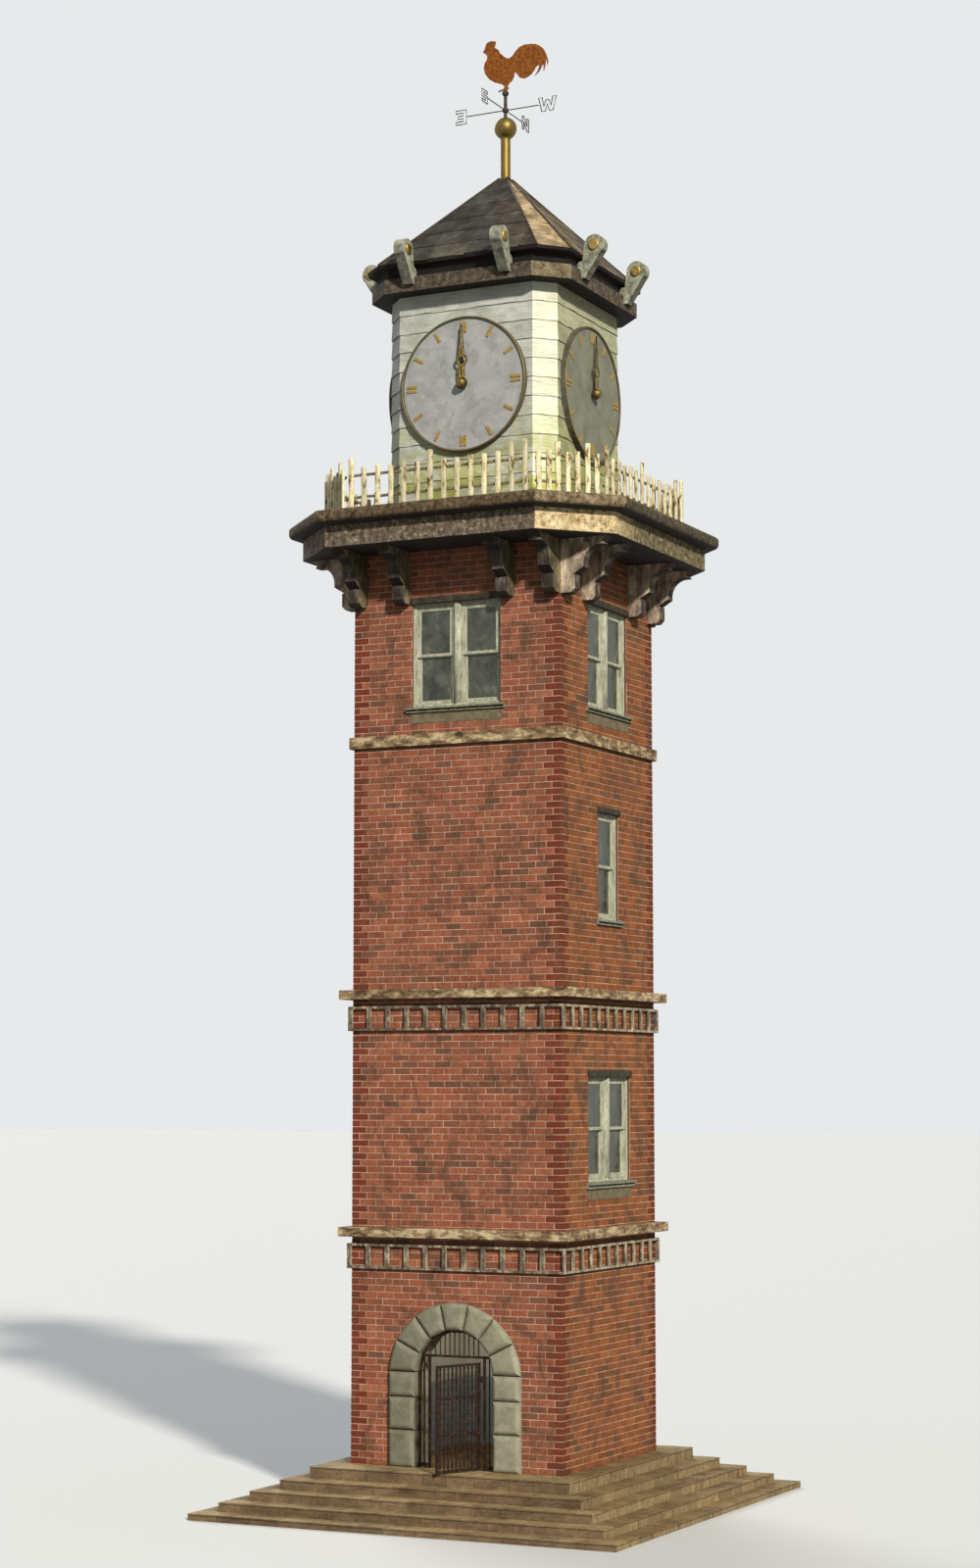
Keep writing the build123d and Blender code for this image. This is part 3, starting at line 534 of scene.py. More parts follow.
def stained(look, colour, share=1.0):
    """Dark clouds and olive run-off over brickwork, the same on bricks and mortar."""
    stains = look.noise(0.50, 7.0, (1, 1, 1.3), 0.8, 0.70)
    colour = look.spotted(colour, stains, 0.48, 0.64, 0.74 * share, STAIN_COLOUR)
    runs = look.noise(0.16, stretch=UPRIGHT_RUNS)
    return look.spotted(colour, runs, 0.54, 0.76, 0.42 * share, OLIVE_COLOUR)


def brick_look():
    look = Look("red_brick", 0.9)
    fine = look.noise(0.035, 5.0)
    colour = look.grained(look.tint(), fine, BRICK_GRAIN, 0.30)
    return look.finish(stained(look, colour), fine, (0.78, 0.97), (fine, 0.006))


def wall_look():
    """Mortar outside, dark brick in the reveals, and inside pale plaster over a grey-green lower part."""
    look = Look("mortar_and_plaster", 0.92)
    fine, clouds = look.noise(0.02), look.noise(0.3, 5.0)
    mortar = stained(look, look.patches(clouds, MORTAR_COLOURS, (0.36, 0.62)), 0.8)
    above = look.between(look.axis("Z"), DADO_TOP, DADO_TOP + 2 * BLUR)
    plaster = look.mix(above, DADO_COLOUR, PLASTER_COLOUR)
    plaster = look.spotted(plaster, clouds, 0.50, 0.80, 0.4, PLASTER_STAIN)
    reach = look.maths("MAXIMUM", look.reach("X"), look.reach("Y"))
    colour = look.mix(look.between(reach, INSIDE + BLUR, INSIDE + 2 * BLUR), plaster, REVEAL_COLOUR)
    colour = look.mix(look.between(reach, SHAFT - 2 * BLUR, SHAFT - BLUR), colour, mortar)
    return look.finish(colour, fine, (0.85, 0.98), (fine, 0.004))


def step_look():
    """Sandstone: tan on top, browner in front, and pale with upright streaks on the flanks."""
    look = Look("sandstone", 0.9)
    clouds, fine = look.clouds(0.16, (2.5, 2.5, 1)), look.noise(0.03, stretch=(2, 2, 1))
    runs = look.noise(0.05, 6.0, (1, 1, 5), 0.3, 0.66)
    colour = look.patches(clouds, STEP_TOP)
    colour = look.mix(look.looking("Y", 0.5, 0.7), colour, look.patches(clouds, STEP_FRONT))
    colour = look.mix(look.looking("X", 0.5, 0.7), colour, look.patches(runs, STEP_FLANK))
    colour = look.times(look.grained(colour, fine), look.tint())
    return look.finish(colour, fine, WORN, (clouds, 0.008), (fine, 0.004))


def door_look():
    """Smooth grey-green stone with a few dark pits, with painted light towards the right jamb and painted
    shade towards the left one.
    """
    look = Look("grey_green_stone", 0.9)
    clouds, fine = look.clouds(0.22, detail=6.0, jagged=0.62), look.noise(0.03)
    pits = look.noise(0.09, 6.0, ROUND, 0.4, 0.7)
    colour = look.grained(look.patches(clouds, DOOR_COLOURS), fine, DOOR_GRAIN, 0.32, 0.60)
    colour = look.spotted(colour, pits, 0.66, 0.71, 0.6, DOOR_PITS)
    # Painted light and shade across the doorway: darker towards the left jamb, paler towards the right
    side = look.between(look.axis("X"), -DOOR_REACH, DOOR_REACH)
    colour = look.times(colour, look.mix(side, DOOR_LEFT_SHADE, DOOR_RIGHT_LIGHT))
    return look.finish(colour, fine, (0.68, 0.92), (clouds, 0.008), (fine, 0.002))


def bracket_look():
    """Brackets painted with light and shade: dark shaded fronts, lit purple-grey sides on the flanks, shaded
    olive sides on the front and back, and dark undersides.
    """
    look = Look("bracket_stone", 0.9)
    clouds, fine = look.clouds(0.16, (1, 1, 2)), look.noise(0.02)
    # Which faces are lit and which are shaded is painted by side and direction
    on_flank = look.between(look.maths("SUBTRACT", look.reach("X"), look.reach("Y")), -BLUR / 2, BLUR / 2)
    sides = look.mix(on_flank, look.patches(clouds, BRACKET_SHADED), look.patches(clouds, BRACKET_LIT))
    fronts = look.mix(on_flank, look.looking("Y"), look.looking("X"))
    colour = look.grained(look.mix(fronts, sides, look.patches(clouds, BRACKET_FRONT_SHADE)), fine)
    colour = look.spotted(colour, look.noise(0.10, stretch=UPRIGHT_RUNS), 0.50, 0.70, 0.5, STREAK_COLOUR)
    return look.finish(look.under(colour, UNDER_SHADE), fine, WORN, (clouds, 0.010), (fine, 0.005))


def board_look():
    """White paint on boards, with grey grain and moss low down; paler paint on the corners that face the
    light is painted light, and the laps' undersides and the flanks are darkened as painted shade.
    """
    look = Look("white_boards", 0.8)
    grain, cracks = look.noise(0.022, 6.0, (18, 18, 1), 0.6), look.noise(0.011, 4.0, (26, 26, 1), 0.5)
    clouds, mossy = look.noise(0.35, 6.0, (1.5, 1.5, 1), 0.3, 0.66), look.noise(0.3, 7.0, ROUND, 0.5, 0.7)
    # The paler paint on the corners that face the light is painted light
    colour = look.mix(look.sunlit_corners(), *(look.patches(clouds, pair, (0.36, 0.60)) for pair in BOARD_PAINT_AND_LIGHT))
    colour = look.grained(colour, grain, BOARD_GRAIN, 0.32, 0.52)
    colour = look.spotted(colour, cracks, 0.61, 0.67, 0.6, BOARD_CRACKS)
    low_down = look.between(look.axis("Z"), MOSS_TOP, MOSS_FULL)
    moss = look.maths("MULTIPLY", low_down, look.between(mossy, 0.41, 0.52))
    colour = look.mix(moss, colour, look.times(colour, MOSS_TINT))
    # The laps' undersides and the flanks are darkened as painted shade
    colour = look.under(look.times(colour, look.tint()), BOARD_UNDER_SHADE)
    return look.finish(look.flank(colour, BOARD_FLANK_SHADE), grain, (0.62, 0.9), (grain, 0.004), (cracks, 0.002))


def glass_look():
    """Old panes, dusty and a little see-through."""
    look = Look("dusty_glass", 0.25, gloss=0.5)
    dust = look.noise(0.30, 7.0, (1, 1, 1.3), 0.4, 0.7)
    look.shader["Alpha"].default_value = 0.86
    return look.finish(look.ramp(dust, *GLASS_STOPS), dust, (0.10, 0.5), (dust, 0.001))


def dial_look():
    """Pale grey paint, darker in soft clouds and where it is worn, and dulled on the flanks as painted shade.
    """
    look = Look("dial_paint", 0.6)
    clouds, fine = look.noise(0.45, 7.0, ROUND, 0.4, 0.62), look.noise(0.02)
    worn = look.noise(0.42, 9.0, ROUND, 0.6, 0.72)
    colour = look.spotted(look.patches(clouds, DIAL_COLOURS, (0.36, 0.64)), worn, 0.53, 0.57, 0.45, DIAL_WORN)
    colour = look.grained(colour, fine, DIAL_GRAIN, 0.30, 0.55)
    return look.finish(look.flank(colour, DIAL_FLANK_SHADE), fine, (0.45, 0.7), (fine, 0.001))


def metal_look(name, colours, patch, roughness):
    """Metal with tarnished patches and a slightly beaten surface."""
    look = Look(name, roughness[1], 1.0)
    clouds, fine = look.noise(patch, 5.0), look.noise(patch / 8)
    return look.finish(look.patches(clouds, colours), clouds, roughness, (fine, 0.002))


# Colours, from the dark end of each noise to the pale end, and where some of them change
STAIN_COLOUR, OLIVE_COLOUR, BRICK_GRAIN = (0.080, 0.045, 0.028), (0.17, 0.125, 0.065), (0.60, 0.56, 0.52)
MORTAR_COLOURS, REVEAL_COLOUR = ((0.39, 0.240, 0.170), (0.60, 0.40, 0.305)), (0.13, 0.06, 0.036)
DADO_TOP, DADO_COLOUR, BLUR = FOOT + 1.2, (0.31, 0.345, 0.33), 0.01
PLASTER_COLOUR, PLASTER_STAIN = (0.66, 0.63, 0.50), (0.20, 0.17, 0.125)
STEP_TOP = ((0.20, 0.135, 0.062), (0.36, 0.255, 0.118), (0.48, 0.36, 0.175))
STEP_FRONT = ((0.115, 0.075, 0.040), (0.19, 0.127, 0.070), (0.26, 0.178, 0.100))
STEP_FLANK = ((0.17, 0.118, 0.057), (0.31, 0.222, 0.110), (0.43, 0.32, 0.165))
DOOR_COLOURS = ((0.20, 0.193, 0.134), (0.255, 0.248, 0.176), (0.305, 0.297, 0.215))
# Painted shade on the left jamb and painted light on the right one
DOOR_REACH, DOOR_LEFT_SHADE, DOOR_RIGHT_LIGHT = 1.1, (0.76, 0.75, 0.75), (1.22, 1.20, 1.20)
DOOR_GRAIN, DOOR_PITS = (0.84, 0.84, 0.84), (0.075, 0.070, 0.050)
# Painted light and shade on the brackets: lit sides, shaded sides and shaded fronts
BRACKET_LIT = ((0.11, 0.074, 0.054), (0.36, 0.268, 0.200), (0.64, 0.51, 0.37), (0.94, 0.81, 0.58))
BRACKET_SHADED = ((0.042, 0.034, 0.019), (0.125, 0.104, 0.060), (0.22, 0.185, 0.102), (0.40, 0.34, 0.19))
BRACKET_FRONT_SHADE = ((0.016, 0.012, 0.010), (0.048, 0.038, 0.031), (0.10, 0.078, 0.062), (0.30, 0.24, 0.18))
# The boards' plain paint, then the paler one painted as light on the sunlit corners; the under and flank
# colours are painted shade
BOARD_PAINT_AND_LIGHT = (((0.44, 0.445, 0.385), (0.62, 0.625, 0.56)), ((0.80, 0.80, 0.60), (0.93, 0.93, 0.76)))
BOARD_GRAIN, BOARD_CRACKS, BOARD_UNDER_SHADE = (0.74, 0.74, 0.72), (0.17, 0.16, 0.12), (0.045, 0.04, 0.03)
BOARD_FLANK_SHADE, MOSS_TINT = (0.78, 0.78, 0.56), (0.68, 0.71, 0.23)
MOSS_TOP, MOSS_FULL = ROOM_LOW + 2.1, ROOM_LOW + 0.5
GLASS_STOPS = ((0.36, (0.03, 0.034, 0.027)), (0.56, (0.085, 0.09, 0.068)), (0.68, (0.19, 0.195, 0.155)))
DIAL_COLOURS = ((0.315, 0.32, 0.315), (0.385, 0.395, 0.385), (0.44, 0.45, 0.43))
# The dials' flank tint is painted shade
DIAL_WORN, DIAL_GRAIN, DIAL_FLANK_SHADE = (0.245, 0.25, 0.245), (0.86, 0.86, 0.86), (0.54, 0.545, 0.40)
IRON_COLOURS = ((0.007, 0.005, 0.004), (0.020, 0.011, 0.007), (0.100, 0.038, 0.013))
LINTEL_COLOURS = ((0.024, 0.022, 0.014), (0.048, 0.045, 0.029), (0.085, 0.08, 0.053))
SILL_COLOURS = ((0.15, 0.145, 0.10), (0.25, 0.245, 0.175), (0.36, 0.35, 0.26))
WINDOW_COLOURS = ((0.24, 0.24, 0.175), (0.47, 0.47, 0.355), (0.66, 0.66, 0.52))
WINDOW_STREAKS = (0.14, 0.13, 0.085)
BEAD_COLOURS = ((0.36, 0.36, 0.22), (0.56, 0.57, 0.39), (0.68, 0.69, 0.50))
APRON_COLOURS = ((0.135, 0.108, 0.062), (0.20, 0.165, 0.098), (0.26, 0.22, 0.14))
CREAM_STONE = ((0.065, 0.041, 0.022), (0.20, 0.127, 0.067), (0.36, 0.25, 0.135), (0.68, 0.545, 0.32))
FASCIA_COLOURS = ((0.032, 0.024, 0.016), (0.125, 0.095, 0.068), (0.22, 0.172, 0.122), (0.52, 0.41, 0.27))
# The flank colours of the fascia and nosing are painted shade, and their pale colours painted light on the
# corners that face the light
FASCIA_FLANK_SHADE = ((0.03, 0.024, 0.012), (0.13, 0.108, 0.058), (0.24, 0.198, 0.105), (0.50, 0.41, 0.22))
FASCIA_LIT = ((0.22, 0.105, 0.05), (0.56, 0.41, 0.205), (0.80, 0.65, 0.36), (0.93, 0.83, 0.54))
DECK_COLOURS = ((0.024, 0.015, 0.008), (0.082, 0.055, 0.031), (0.14, 0.097, 0.055), (0.31, 0.22, 0.125))
DECK_LIT = ((0.06, 0.038, 0.020), (0.17, 0.118, 0.068), (0.28, 0.205, 0.12), (0.42, 0.32, 0.20))
DECK_FLANK_SHADE = ((0.020, 0.016, 0.008), (0.058, 0.048, 0.028), (0.10, 0.082, 0.046), (0.20, 0.16, 0.09))
FRIEZE_COLOURS = ((0.055, 0.042, 0.030), (0.17, 0.135, 0.094), (0.56, 0.48, 0.34))
# The frieze's flank colours are painted light
FRIEZE_FLANK_LIGHT = ((0.13, 0.105, 0.072), (0.36, 0.305, 0.21), (0.68, 0.60, 0.43))
STAKE_COLOURS = ((0.17, 0.105, 0.048), (0.66, 0.58, 0.34), (0.84, 0.77, 0.50), (0.90, 0.85, 0.60))
RAIL_COLOURS = ((0.09, 0.06, 0.035), (0.22, 0.17, 0.10), (0.42, 0.36, 0.22))
GOLD_COLOURS = ((0.28, 0.17, 0.042), (0.42, 0.26, 0.066), (0.50, 0.32, 0.092))
SLATE_COLOURS = ((0.045, 0.037, 0.029), (0.085, 0.075, 0.060), (0.165, 0.148, 0.122))
EAVES_COLOURS = ((0.028, 0.020, 0.014), (0.078, 0.060, 0.044), (0.13, 0.100, 0.070), (0.24, 0.19, 0.13))
# Painted light on the eaves' corners that face the light
EAVES_LIT = ((0.06, 0.045, 0.026), (0.22, 0.175, 0.102), (0.36, 0.295, 0.18))
ARM_COLOURS = ((0.14, 0.14, 0.095), (0.37, 0.37, 0.28), (0.58, 0.58, 0.465))
DARK_COLOURS = ((0.02, 0.016, 0.012), (0.06, 0.045, 0.03), (0.11, 0.07, 0.035))
RUST_COLOURS = ((0.085, 0.030, 0.016), (0.27, 0.079, 0.011), (0.44, 0.150, 0.018))
HAND_COLOURS = ((0.15, 0.10, 0.032), (0.36, 0.25, 0.075), (0.44, 0.32, 0.10))
BRONZE_COLOURS = ((0.02, 0.013, 0.007), (0.05, 0.032, 0.014), (0.09, 0.06, 0.024))
GILT_COLOURS = ((0.145, 0.100, 0.028), (0.19, 0.135, 0.039), (0.22, 0.160, 0.052))
BRASS_COLOURS = ((0.22, 0.15, 0.045), (0.42, 0.29, 0.085), (0.48, 0.34, 0.12))

LOOKS = {
    "brick": brick_look(),
    "wall": wall_look(),
    "boards": board_look(),
    "glass": glass_look(),
    "dial": dial_look(),
    "step": step_look(),
    "door": door_look(),
    "bracket": bracket_look(),
    "joint": weathered("step_joints", ((0.03, 0.021, 0.013), (0.07, 0.05, 0.03)), 0.3, 0.02, 0.003),
    "floor": weathered("worn_boards", ((0.10, 0.07, 0.045), (0.24, 0.17, 0.11)), 0.2, 0.03, 0.003,
                       stretch=(6, 1, 1)),
    "iron": weathered("rusty_iron", IRON_COLOURS, 0.06, 0.012, 0.002, roughness=(0.5, 0.85)),
    "lintel": weathered("mossy_stone", LINTEL_COLOURS, 0.10, 0.02, 0.004),
    "sill": weathered("sill_stone", SILL_COLOURS, 0.10, 0.02, 0.004, under=True),
    "window": weathered("pale_paint", WINDOW_COLOURS, 0.07, 0.012, 0.002, stretch=(1, 1, 4), streaks=0.3,
                        streak_colour=WINDOW_STREAKS),
    "bead": weathered("pale_beads", BEAD_COLOURS, 0.06, 0.012, 0.002, stretch=(1, 1, 3)),
    "apron": weathered("olive_plaster", APRON_COLOURS, 0.12, 0.02, 0.003, streaks=0.3),
    "cream": weathered("cream_stone", CREAM_STONE, 0.12, 0.02, 0.004, under=True, streaks=0.3,
                       run=(0.35, 0.61), stretch=(2.4, 2.4, 0.9)),
    # The fascia's pale corners and their spill onto the flanks are painted light; its flank colours and
    # undersides are painted shade
    "fascia": weathered("balcony_stone", FASCIA_COLOURS, 0.09, 0.016, 0.004, under=True, streaks=0.35,
                        pale=FASCIA_LIT, flank=FASCIA_FLANK_SHADE, light_spill=(-1.0, -2.1)),
    # The nosing's pale corners are painted light; its flank colours and undersides are painted shade
    "deck": weathered("balcony_nosing", DECK_COLOURS, 0.10, 0.016, 0.004, under=True, pale=DECK_LIT,
                      flank=DECK_FLANK_SHADE),
    # The frieze's flank colours are painted light
    "frieze": weathered("aged_wood", FRIEZE_COLOURS, 0.14, 0.015, 0.003, stretch=(1, 1, 2),
                        flank=FRIEZE_FLANK_LIGHT),
    "stake": weathered("stake_paint", STAKE_COLOURS, 0.11, 0.016, 0.005, tinted=True, stretch=(1, 1, 2.5),
                       run=(0.385, 0.575)),
    "rail": weathered("brown_rail", RAIL_COLOURS, 0.10, 0.02, 0.004, tinted=True),
    "rim": weathered("dial_drum", ((0.06, 0.055, 0.04), (0.16, 0.155, 0.115)), 0.2, 0.02, 0.002,
                     roughness=(0.45, 0.75)),
    "gold": weathered("gold_paint", GOLD_COLOURS, 0.04, 0.01, 0.001, roughness=(0.45, 0.7)),
    "slate": weathered("stone_slate", SLATE_COLOURS, 0.34, 0.025, 0.006, tinted=True, under=True,
                       run=(0.36, 0.62)),
    # Near-black painted shade: the roof's edge, the sill slots and the eaves' upper course
    "roof": weathered("roof_bed_shade", ((0.006, 0.005, 0.004), (0.02, 0.017, 0.014)), 0.3, 0.03, 0.004,
                      under=True),
    # The eaves' pale corners are painted light and their undersides painted shade
    "eaves": weathered("eaves_stone", EAVES_COLOURS, 0.10, 0.016, 0.003, under=True, streaks=0.25,
                       pale=EAVES_LIT),
    "arm": weathered("pitted_stone", ARM_COLOURS, 0.10, 0.015, 0.004, under=True, streaks=0.35),
    "dark": weathered("dark_iron", DARK_COLOURS, 0.05, 0.01, 0.001, roughness=(0.45, 0.8)),
    "wire": weathered("olive_wire", ((0.025, 0.022, 0.013), (0.075, 0.066, 0.040)), 0.05, 0.01, 0.001,
                      roughness=(0.5, 0.8)),
    "rust": weathered("rust_plate", RUST_COLOURS, 0.055, 0.012, 0.002, roughness=(0.6, 0.9)),
    "hand": metal_look("hand_brass", HAND_COLOURS, 0.05, (0.35, 0.6)),
    "bronze": metal_look("dark_bronze", BRONZE_COLOURS, 0.05, (0.4, 0.65)),
    "gilt": metal_look("gilding", GILT_COLOURS, 0.20, (0.44, 0.54)),
    "brass": metal_look("dull_brass", BRASS_COLOURS, 0.06, (0.35, 0.55)),
}
# The CAD nodes that have each look
DRESSED = {
    "joint": ("step_1", "step_2", "step_3", "step_4", "platform"),
    "wall": ("front_wall", "back_wall", "right_wall", "left_wall", "front_pier_left", "front_pier_right"),
    "floor": ("floors",), "door": ("door_jambs", "door_arch"), "iron": ("gate_frame", "gate_leaf"),
    "lintel": ("window_stones",), "window": ("window_frames",), "glass": ("window_panes",),
    "cream": ("lower_cornice", "upper_cornice", "plain_band"), "frieze": ("friezes",),
    "fascia": ("balcony_fascia",), "deck": ("balcony_deck",), "bracket": ("balcony_brackets",),
    "boards": ("clock_walls", "clock_corners"), "rim": ("dial_rims",), "dial": ("dial_faces",),
    "hand": [f"minute_hand_{side}" for side in SIDES], "bronze": [f"hour_hand_{side}" for side in SIDES],
    "eaves": ("eaves",), "roof": ("roof",), "arm": ("roof_arms",), "brass": ("roof_arm_discs",),
    "gilt": ("finial",), "dark": ("compass",), "rust": ("weathercock",),
}


# The solids of the frame

def dress(node, look, edge):
    """Gives a CAD node its material and, where its edges are worn, a small rounding."""
    solid = frame["nodes"][node]
    solid.data.materials.clear()
    solid.data.materials.append(LOOKS[look])
    if edge:
        weld = solid.modifiers.new("weld", "WELD")
        weld.merge_threshold = EDGE_WELD
        bevel = solid.modifiers.new("worn_edges", "BEVEL")
        bevel.width = edge
        bevel.segments = EDGE_STEPS
        bevel.limit_method = "ANGLE"
        bevel.angle_limit = EDGE_ANGLE


def dress_part(node, look, chosen):
    """Gives another material to the faces of a CAD node whose centres are chosen."""
    mesh = frame["nodes"][node].data
    mesh.materials.append(LOOKS[look])
    for face in mesh.polygons:
        face.material_index = int(chosen(face.center))


def dress_all():
    """Dresses all nodes; sills and the weathercock's ball have their own looks, and the eaves' upper course
    is painted near black as shade under the roof's edge.
    """
    for look, nodes in DRESSED.items():
        for node in nodes:
            dress(node, look, EDGES.get(node, 0.0))
    feet = {round(box[2], 2) for boxes in on_sides("window_frames") for box in boxes}
    dress_part("window_stones", "sill", lambda place: any(abs(place.z - foot) < SILL_REACH for foot in feet))
    ball_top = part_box("weathercock")[0].z + 2 * COCK_BALL
    dress_part("weathercock", "dark", lambda place: place.z < ball_top and place.xy.length < COCK_BALL)
    # The eaves' upper course is painted near black as shade under the roof's edge
    step = levels_of("eaves")[1]
    dress_part("eaves", "roof", lambda place: place.z > step + MITRE_SUNK)


# Brickwork

def without(brick, hole):
    """What is left of a brick, as (left, right, low, high), once a hole is cut from it."""
    left, right, low, high = brick
    hole_left, hole_right, hole_low, hole_high = hole
    if hole_right <= left or hole_left >= right or hole_high <= low or hole_low >= high:
        return [brick]
    middle_low, middle_high = max(low, hole_low), min(high, hole_high)
    rest = [(left, right, low, middle_low), (left, right, middle_high, high),
            (left, hole_left, middle_low, middle_high), (hole_right, right, middle_low, middle_high)]
    return [(a, b, c, d) for a, b, c, d in rest if b - a > BRICK_LEAST and d - c > BRICK_LEAST]


def arch_circle():
    """Centre height and radius of the arch's outer edge."""
    low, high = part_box("door_arch")
    rise = high.z - low.z
    radius = (high.x ** 2 + rise ** 2) / (2 * rise)
    return high.z - radius, radius


def wall_holes():
    """The places on each side of the shaft that carry no brick."""
    holes = [[] for _ in SIDES]
    for node in ("window_stones", "window_frames"):
        for side, boxes in enumerate(on_sides(node)):
            holes[side] += [box[:4] for box in boxes]
    for side, *apron in aprons():
        holes[side].append(apron)
    low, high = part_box("door_jambs")
    holes[0].append((low.x - JOINT / 2, high.x + JOINT / 2, FOOT, high.z))
    return holes


def row_of_bricks(along, odd, shift):
    """Joint places along one course: a quoin at each end and stretchers between."""
    first, last = (QUOIN_SHORT, QUOIN_LONG) if odd else (QUOIN_LONG, QUOIN_SHORT)
    inner = np.linspace(first - along, along - last, BRICKS_IN_ROW + 1) + shift
    return [-along - JOINT / 2, *inner, along + JOINT / 2]


def brick_walls():
    rows = round((SHAFT_TOP - FOOT) / COURSE)
    course = (SHAFT_TOP - FOOT) / rows
    holes = wall_holes()
    centre, radius = arch_circle()

    def behind_arch(left, right, low, high):
        return max(math.hypot(x, z - centre) for x in (left, right) for z in (low, high)) < radius

    for side, (name, angle) in enumerate(zip(SIDES, SQUARE_SIDES)):
        rng = np.random.default_rng(BRICK_SEED + side)
        shapes = Shapes()
        # Bricks on the flanks take the tint of grime and painted light
        along, grime_and_light = (SHAFT, FLANK_GRIME_AND_LIGHT) if side % 2 else (SHAFT + BRICK_PROUD, WHITE)
        for row in range(rows):
            low, high = FOOT + row * course + JOINT / 2, FOOT + (row + 1) * course - JOINT / 2
            joints = row_of_bricks(along, row % 2, JOINT_SHIFT * rng.uniform(-1, 1))
            for index, (start, end) in enumerate(zip(joints[:-1], joints[1:])):
                colour = QUOIN_COLOUR
                if 0 < index < len(joints) - 2:
                    colour = BRICK_COLOURS[rng.choice(len(BRICK_COLOURS), p=BRICK_SHARES)]
                tint = shaded(times(colour, grime_and_light), rng, BRICK_SPREAD)
                front = SHAFT + BRICK_PROUD + BRICK_UNEVEN * rng.uniform(-1, 1)
                bricks = [(start + JOINT / 2, end - JOINT / 2, low, high)]
                for hole in holes[side]:
                    bricks = [piece for brick in bricks for piece in without(brick, hole)]
                for brick in bricks:
                    if side or not behind_arch(*brick):
                        block(shapes, *brick, SHAFT - BRICK_CHAMFER, front, BRICK_CHAMFER, angle, tint)
        shapes.build(f"bricks_{name}", "brick", "brick")


# Windows

def sills():
    """Each window's side, the box of its frame and the box of its sill."""
    stones = on_sides("window_stones")
    for side, boxes in enumerate(on_sides("window_frames")):
        for box in boxes:
            yield side, box, min(stones[side], key=lambda stone: abs(stone[3] - box[2]))


def aprons():
    """(side, left, right, low, high) of the plaster under each wide window's sill."""
    return [(side, left - APRON_SIDE, right + APRON_SIDE, sill[2] - APRON_DROP, sill[2])
            for side, (left, right, *_), sill in sills() if right - left >= APRON_LEAST_WIDTH]


def row_of_blocks(shapes, left, right, count, gap, low, high, back, front, chamfer, angle):
    """Blocks spread evenly between two ends, with a gap on both sides of each."""
    joints = np.linspace(left, right, count + 1)
    for start, end in zip(joints[:-1], joints[1:]):
        block(shapes, start + gap, end - gap, low, high, back, front, chamfer, angle)


def border(shapes, left, right, low, high, width, back, front, angle):
    """Four thin strips just inside the edges of an oblong."""
    for strip in ((left, right, low, low + width), (left, right, high - width, high),
                  (left, left + width, low + width, high - width),
                  (right - width, right, low + width, high - width)):
        block(shapes, *strip, back, front, width / 6, angle)


def apron_plaster():
    """Plaster under the sills of the wide windows."""
    shapes = Shapes()
    for side, *apron in aprons():
        block(shapes, *apron, SHAFT - BRICK_CHAMFER, SHAFT + APRON_PROUD, BRICK_CHAMFER, SQUARE_SIDES[side])
    shapes.build("aprons", "apron", "window_stone")


def window_dentils():
    """A row of small blocks at the head of each window."""
    shapes = Shapes()
    for side, (left, right, _, high, _, out), _ in sills():
        count = int((right - left) / DENTIL_PITCH)
        gap = ((right - left) / count - DENTIL_WIDTH) / 2
        low = high - 1.5 * DENTIL_HEIGHT
        row_of_blocks(shapes, left, right, count, gap, low, low + DENTIL_HEIGHT, out - DENTIL_REACH,
                      out + DENTIL_REACH, DENTIL_WIDTH / 10, SQUARE_SIDES[side])
    shapes.build("window_dentils", "window", "window_paint")


def window_latches():
    """A latch low on the middle of each window."""
    shapes = Shapes()
    for side, (_, _, low, high, _, out), _ in sills():
        foot = low + LATCH_SHARE * (high - low)
        block(shapes, -LATCH_WIDTH / 2, LATCH_WIDTH / 2, foot, foot + LATCH_HEIGHT, out - LATCH_REACH,
              out + LATCH_REACH, LATCH_WIDTH / 4, SQUARE_SIDES[side])
    shapes.build("window_latches", "dark", "dark_iron")


def sill_shadow_slots():
    """Near-black strips along the step of each sill, painted shadow under the upper tier."""
    shapes = Shapes()
    for side, _, (left, right, low, high, _, out) in sills():
        pieces = round((right - left) / SLOT_PITCH)
        top, face = low + SILL_TIER_SHARE * (high - low), out - SILL_STEP
        row_of_blocks(shapes, left, right, pieces, SLOT_GAP, top - SLOT_HEIGHT, top, face - SLOT_PROUD,
                      face + SLOT_PROUD, SLOT_PROUD, SQUARE_SIDES[side])
    shapes.build("sill_shadow_slots", "roof", "window_stone")


def window_beads():
    """Pale beads round the panes and the frames."""
    shapes = Shapes()
    for node, width, sunk, reach in (("window_panes", PUTTY_WIDTH, PUTTY_REACH / 4, PUTTY_REACH),
                                     ("window_frames", STRIP_WIDTH, STRIP_REACH, STRIP_REACH)):
        for angle, boxes in zip(SQUARE_SIDES, on_sides(node)):
            for *box, _, out in boxes:
                border(shapes, *box, width, out - sunk, out + reach, angle)
    shapes.build("window_beads", "bead", "window_paint")


def window_posts():
    """Half-round posts, with small feet, on the middle of the two-light windows."""
    shapes = Shapes()
    turns = np.linspace(-QUARTER, QUARTER, POST_STEPS)
    for side, (left, right, low, high, _, face), _ in sills():
        if right - left > APRON_LEAST_WIDTH:
            angle = SQUARE_SIDES[side]
            back, reach = face - PUTTY_REACH, POST_REACH + PUTTY_REACH
            section = [(POST_HALF * math.sin(turn), back + reach * math.cos(turn)) for turn in turns]
            shapes.loft([facing([(along, out, up) for along, out in section], angle)
                         for up in (low, high - STRIP_WIDTH)])
            block(shapes, -POST_HALF, POST_HALF, low, low + POST_FOOT, back, face + POST_REACH, POST_FOOT / 5,
                  angle)
    shapes.build("window_posts", "window", "window_paint", smooth=True)


# Mitres

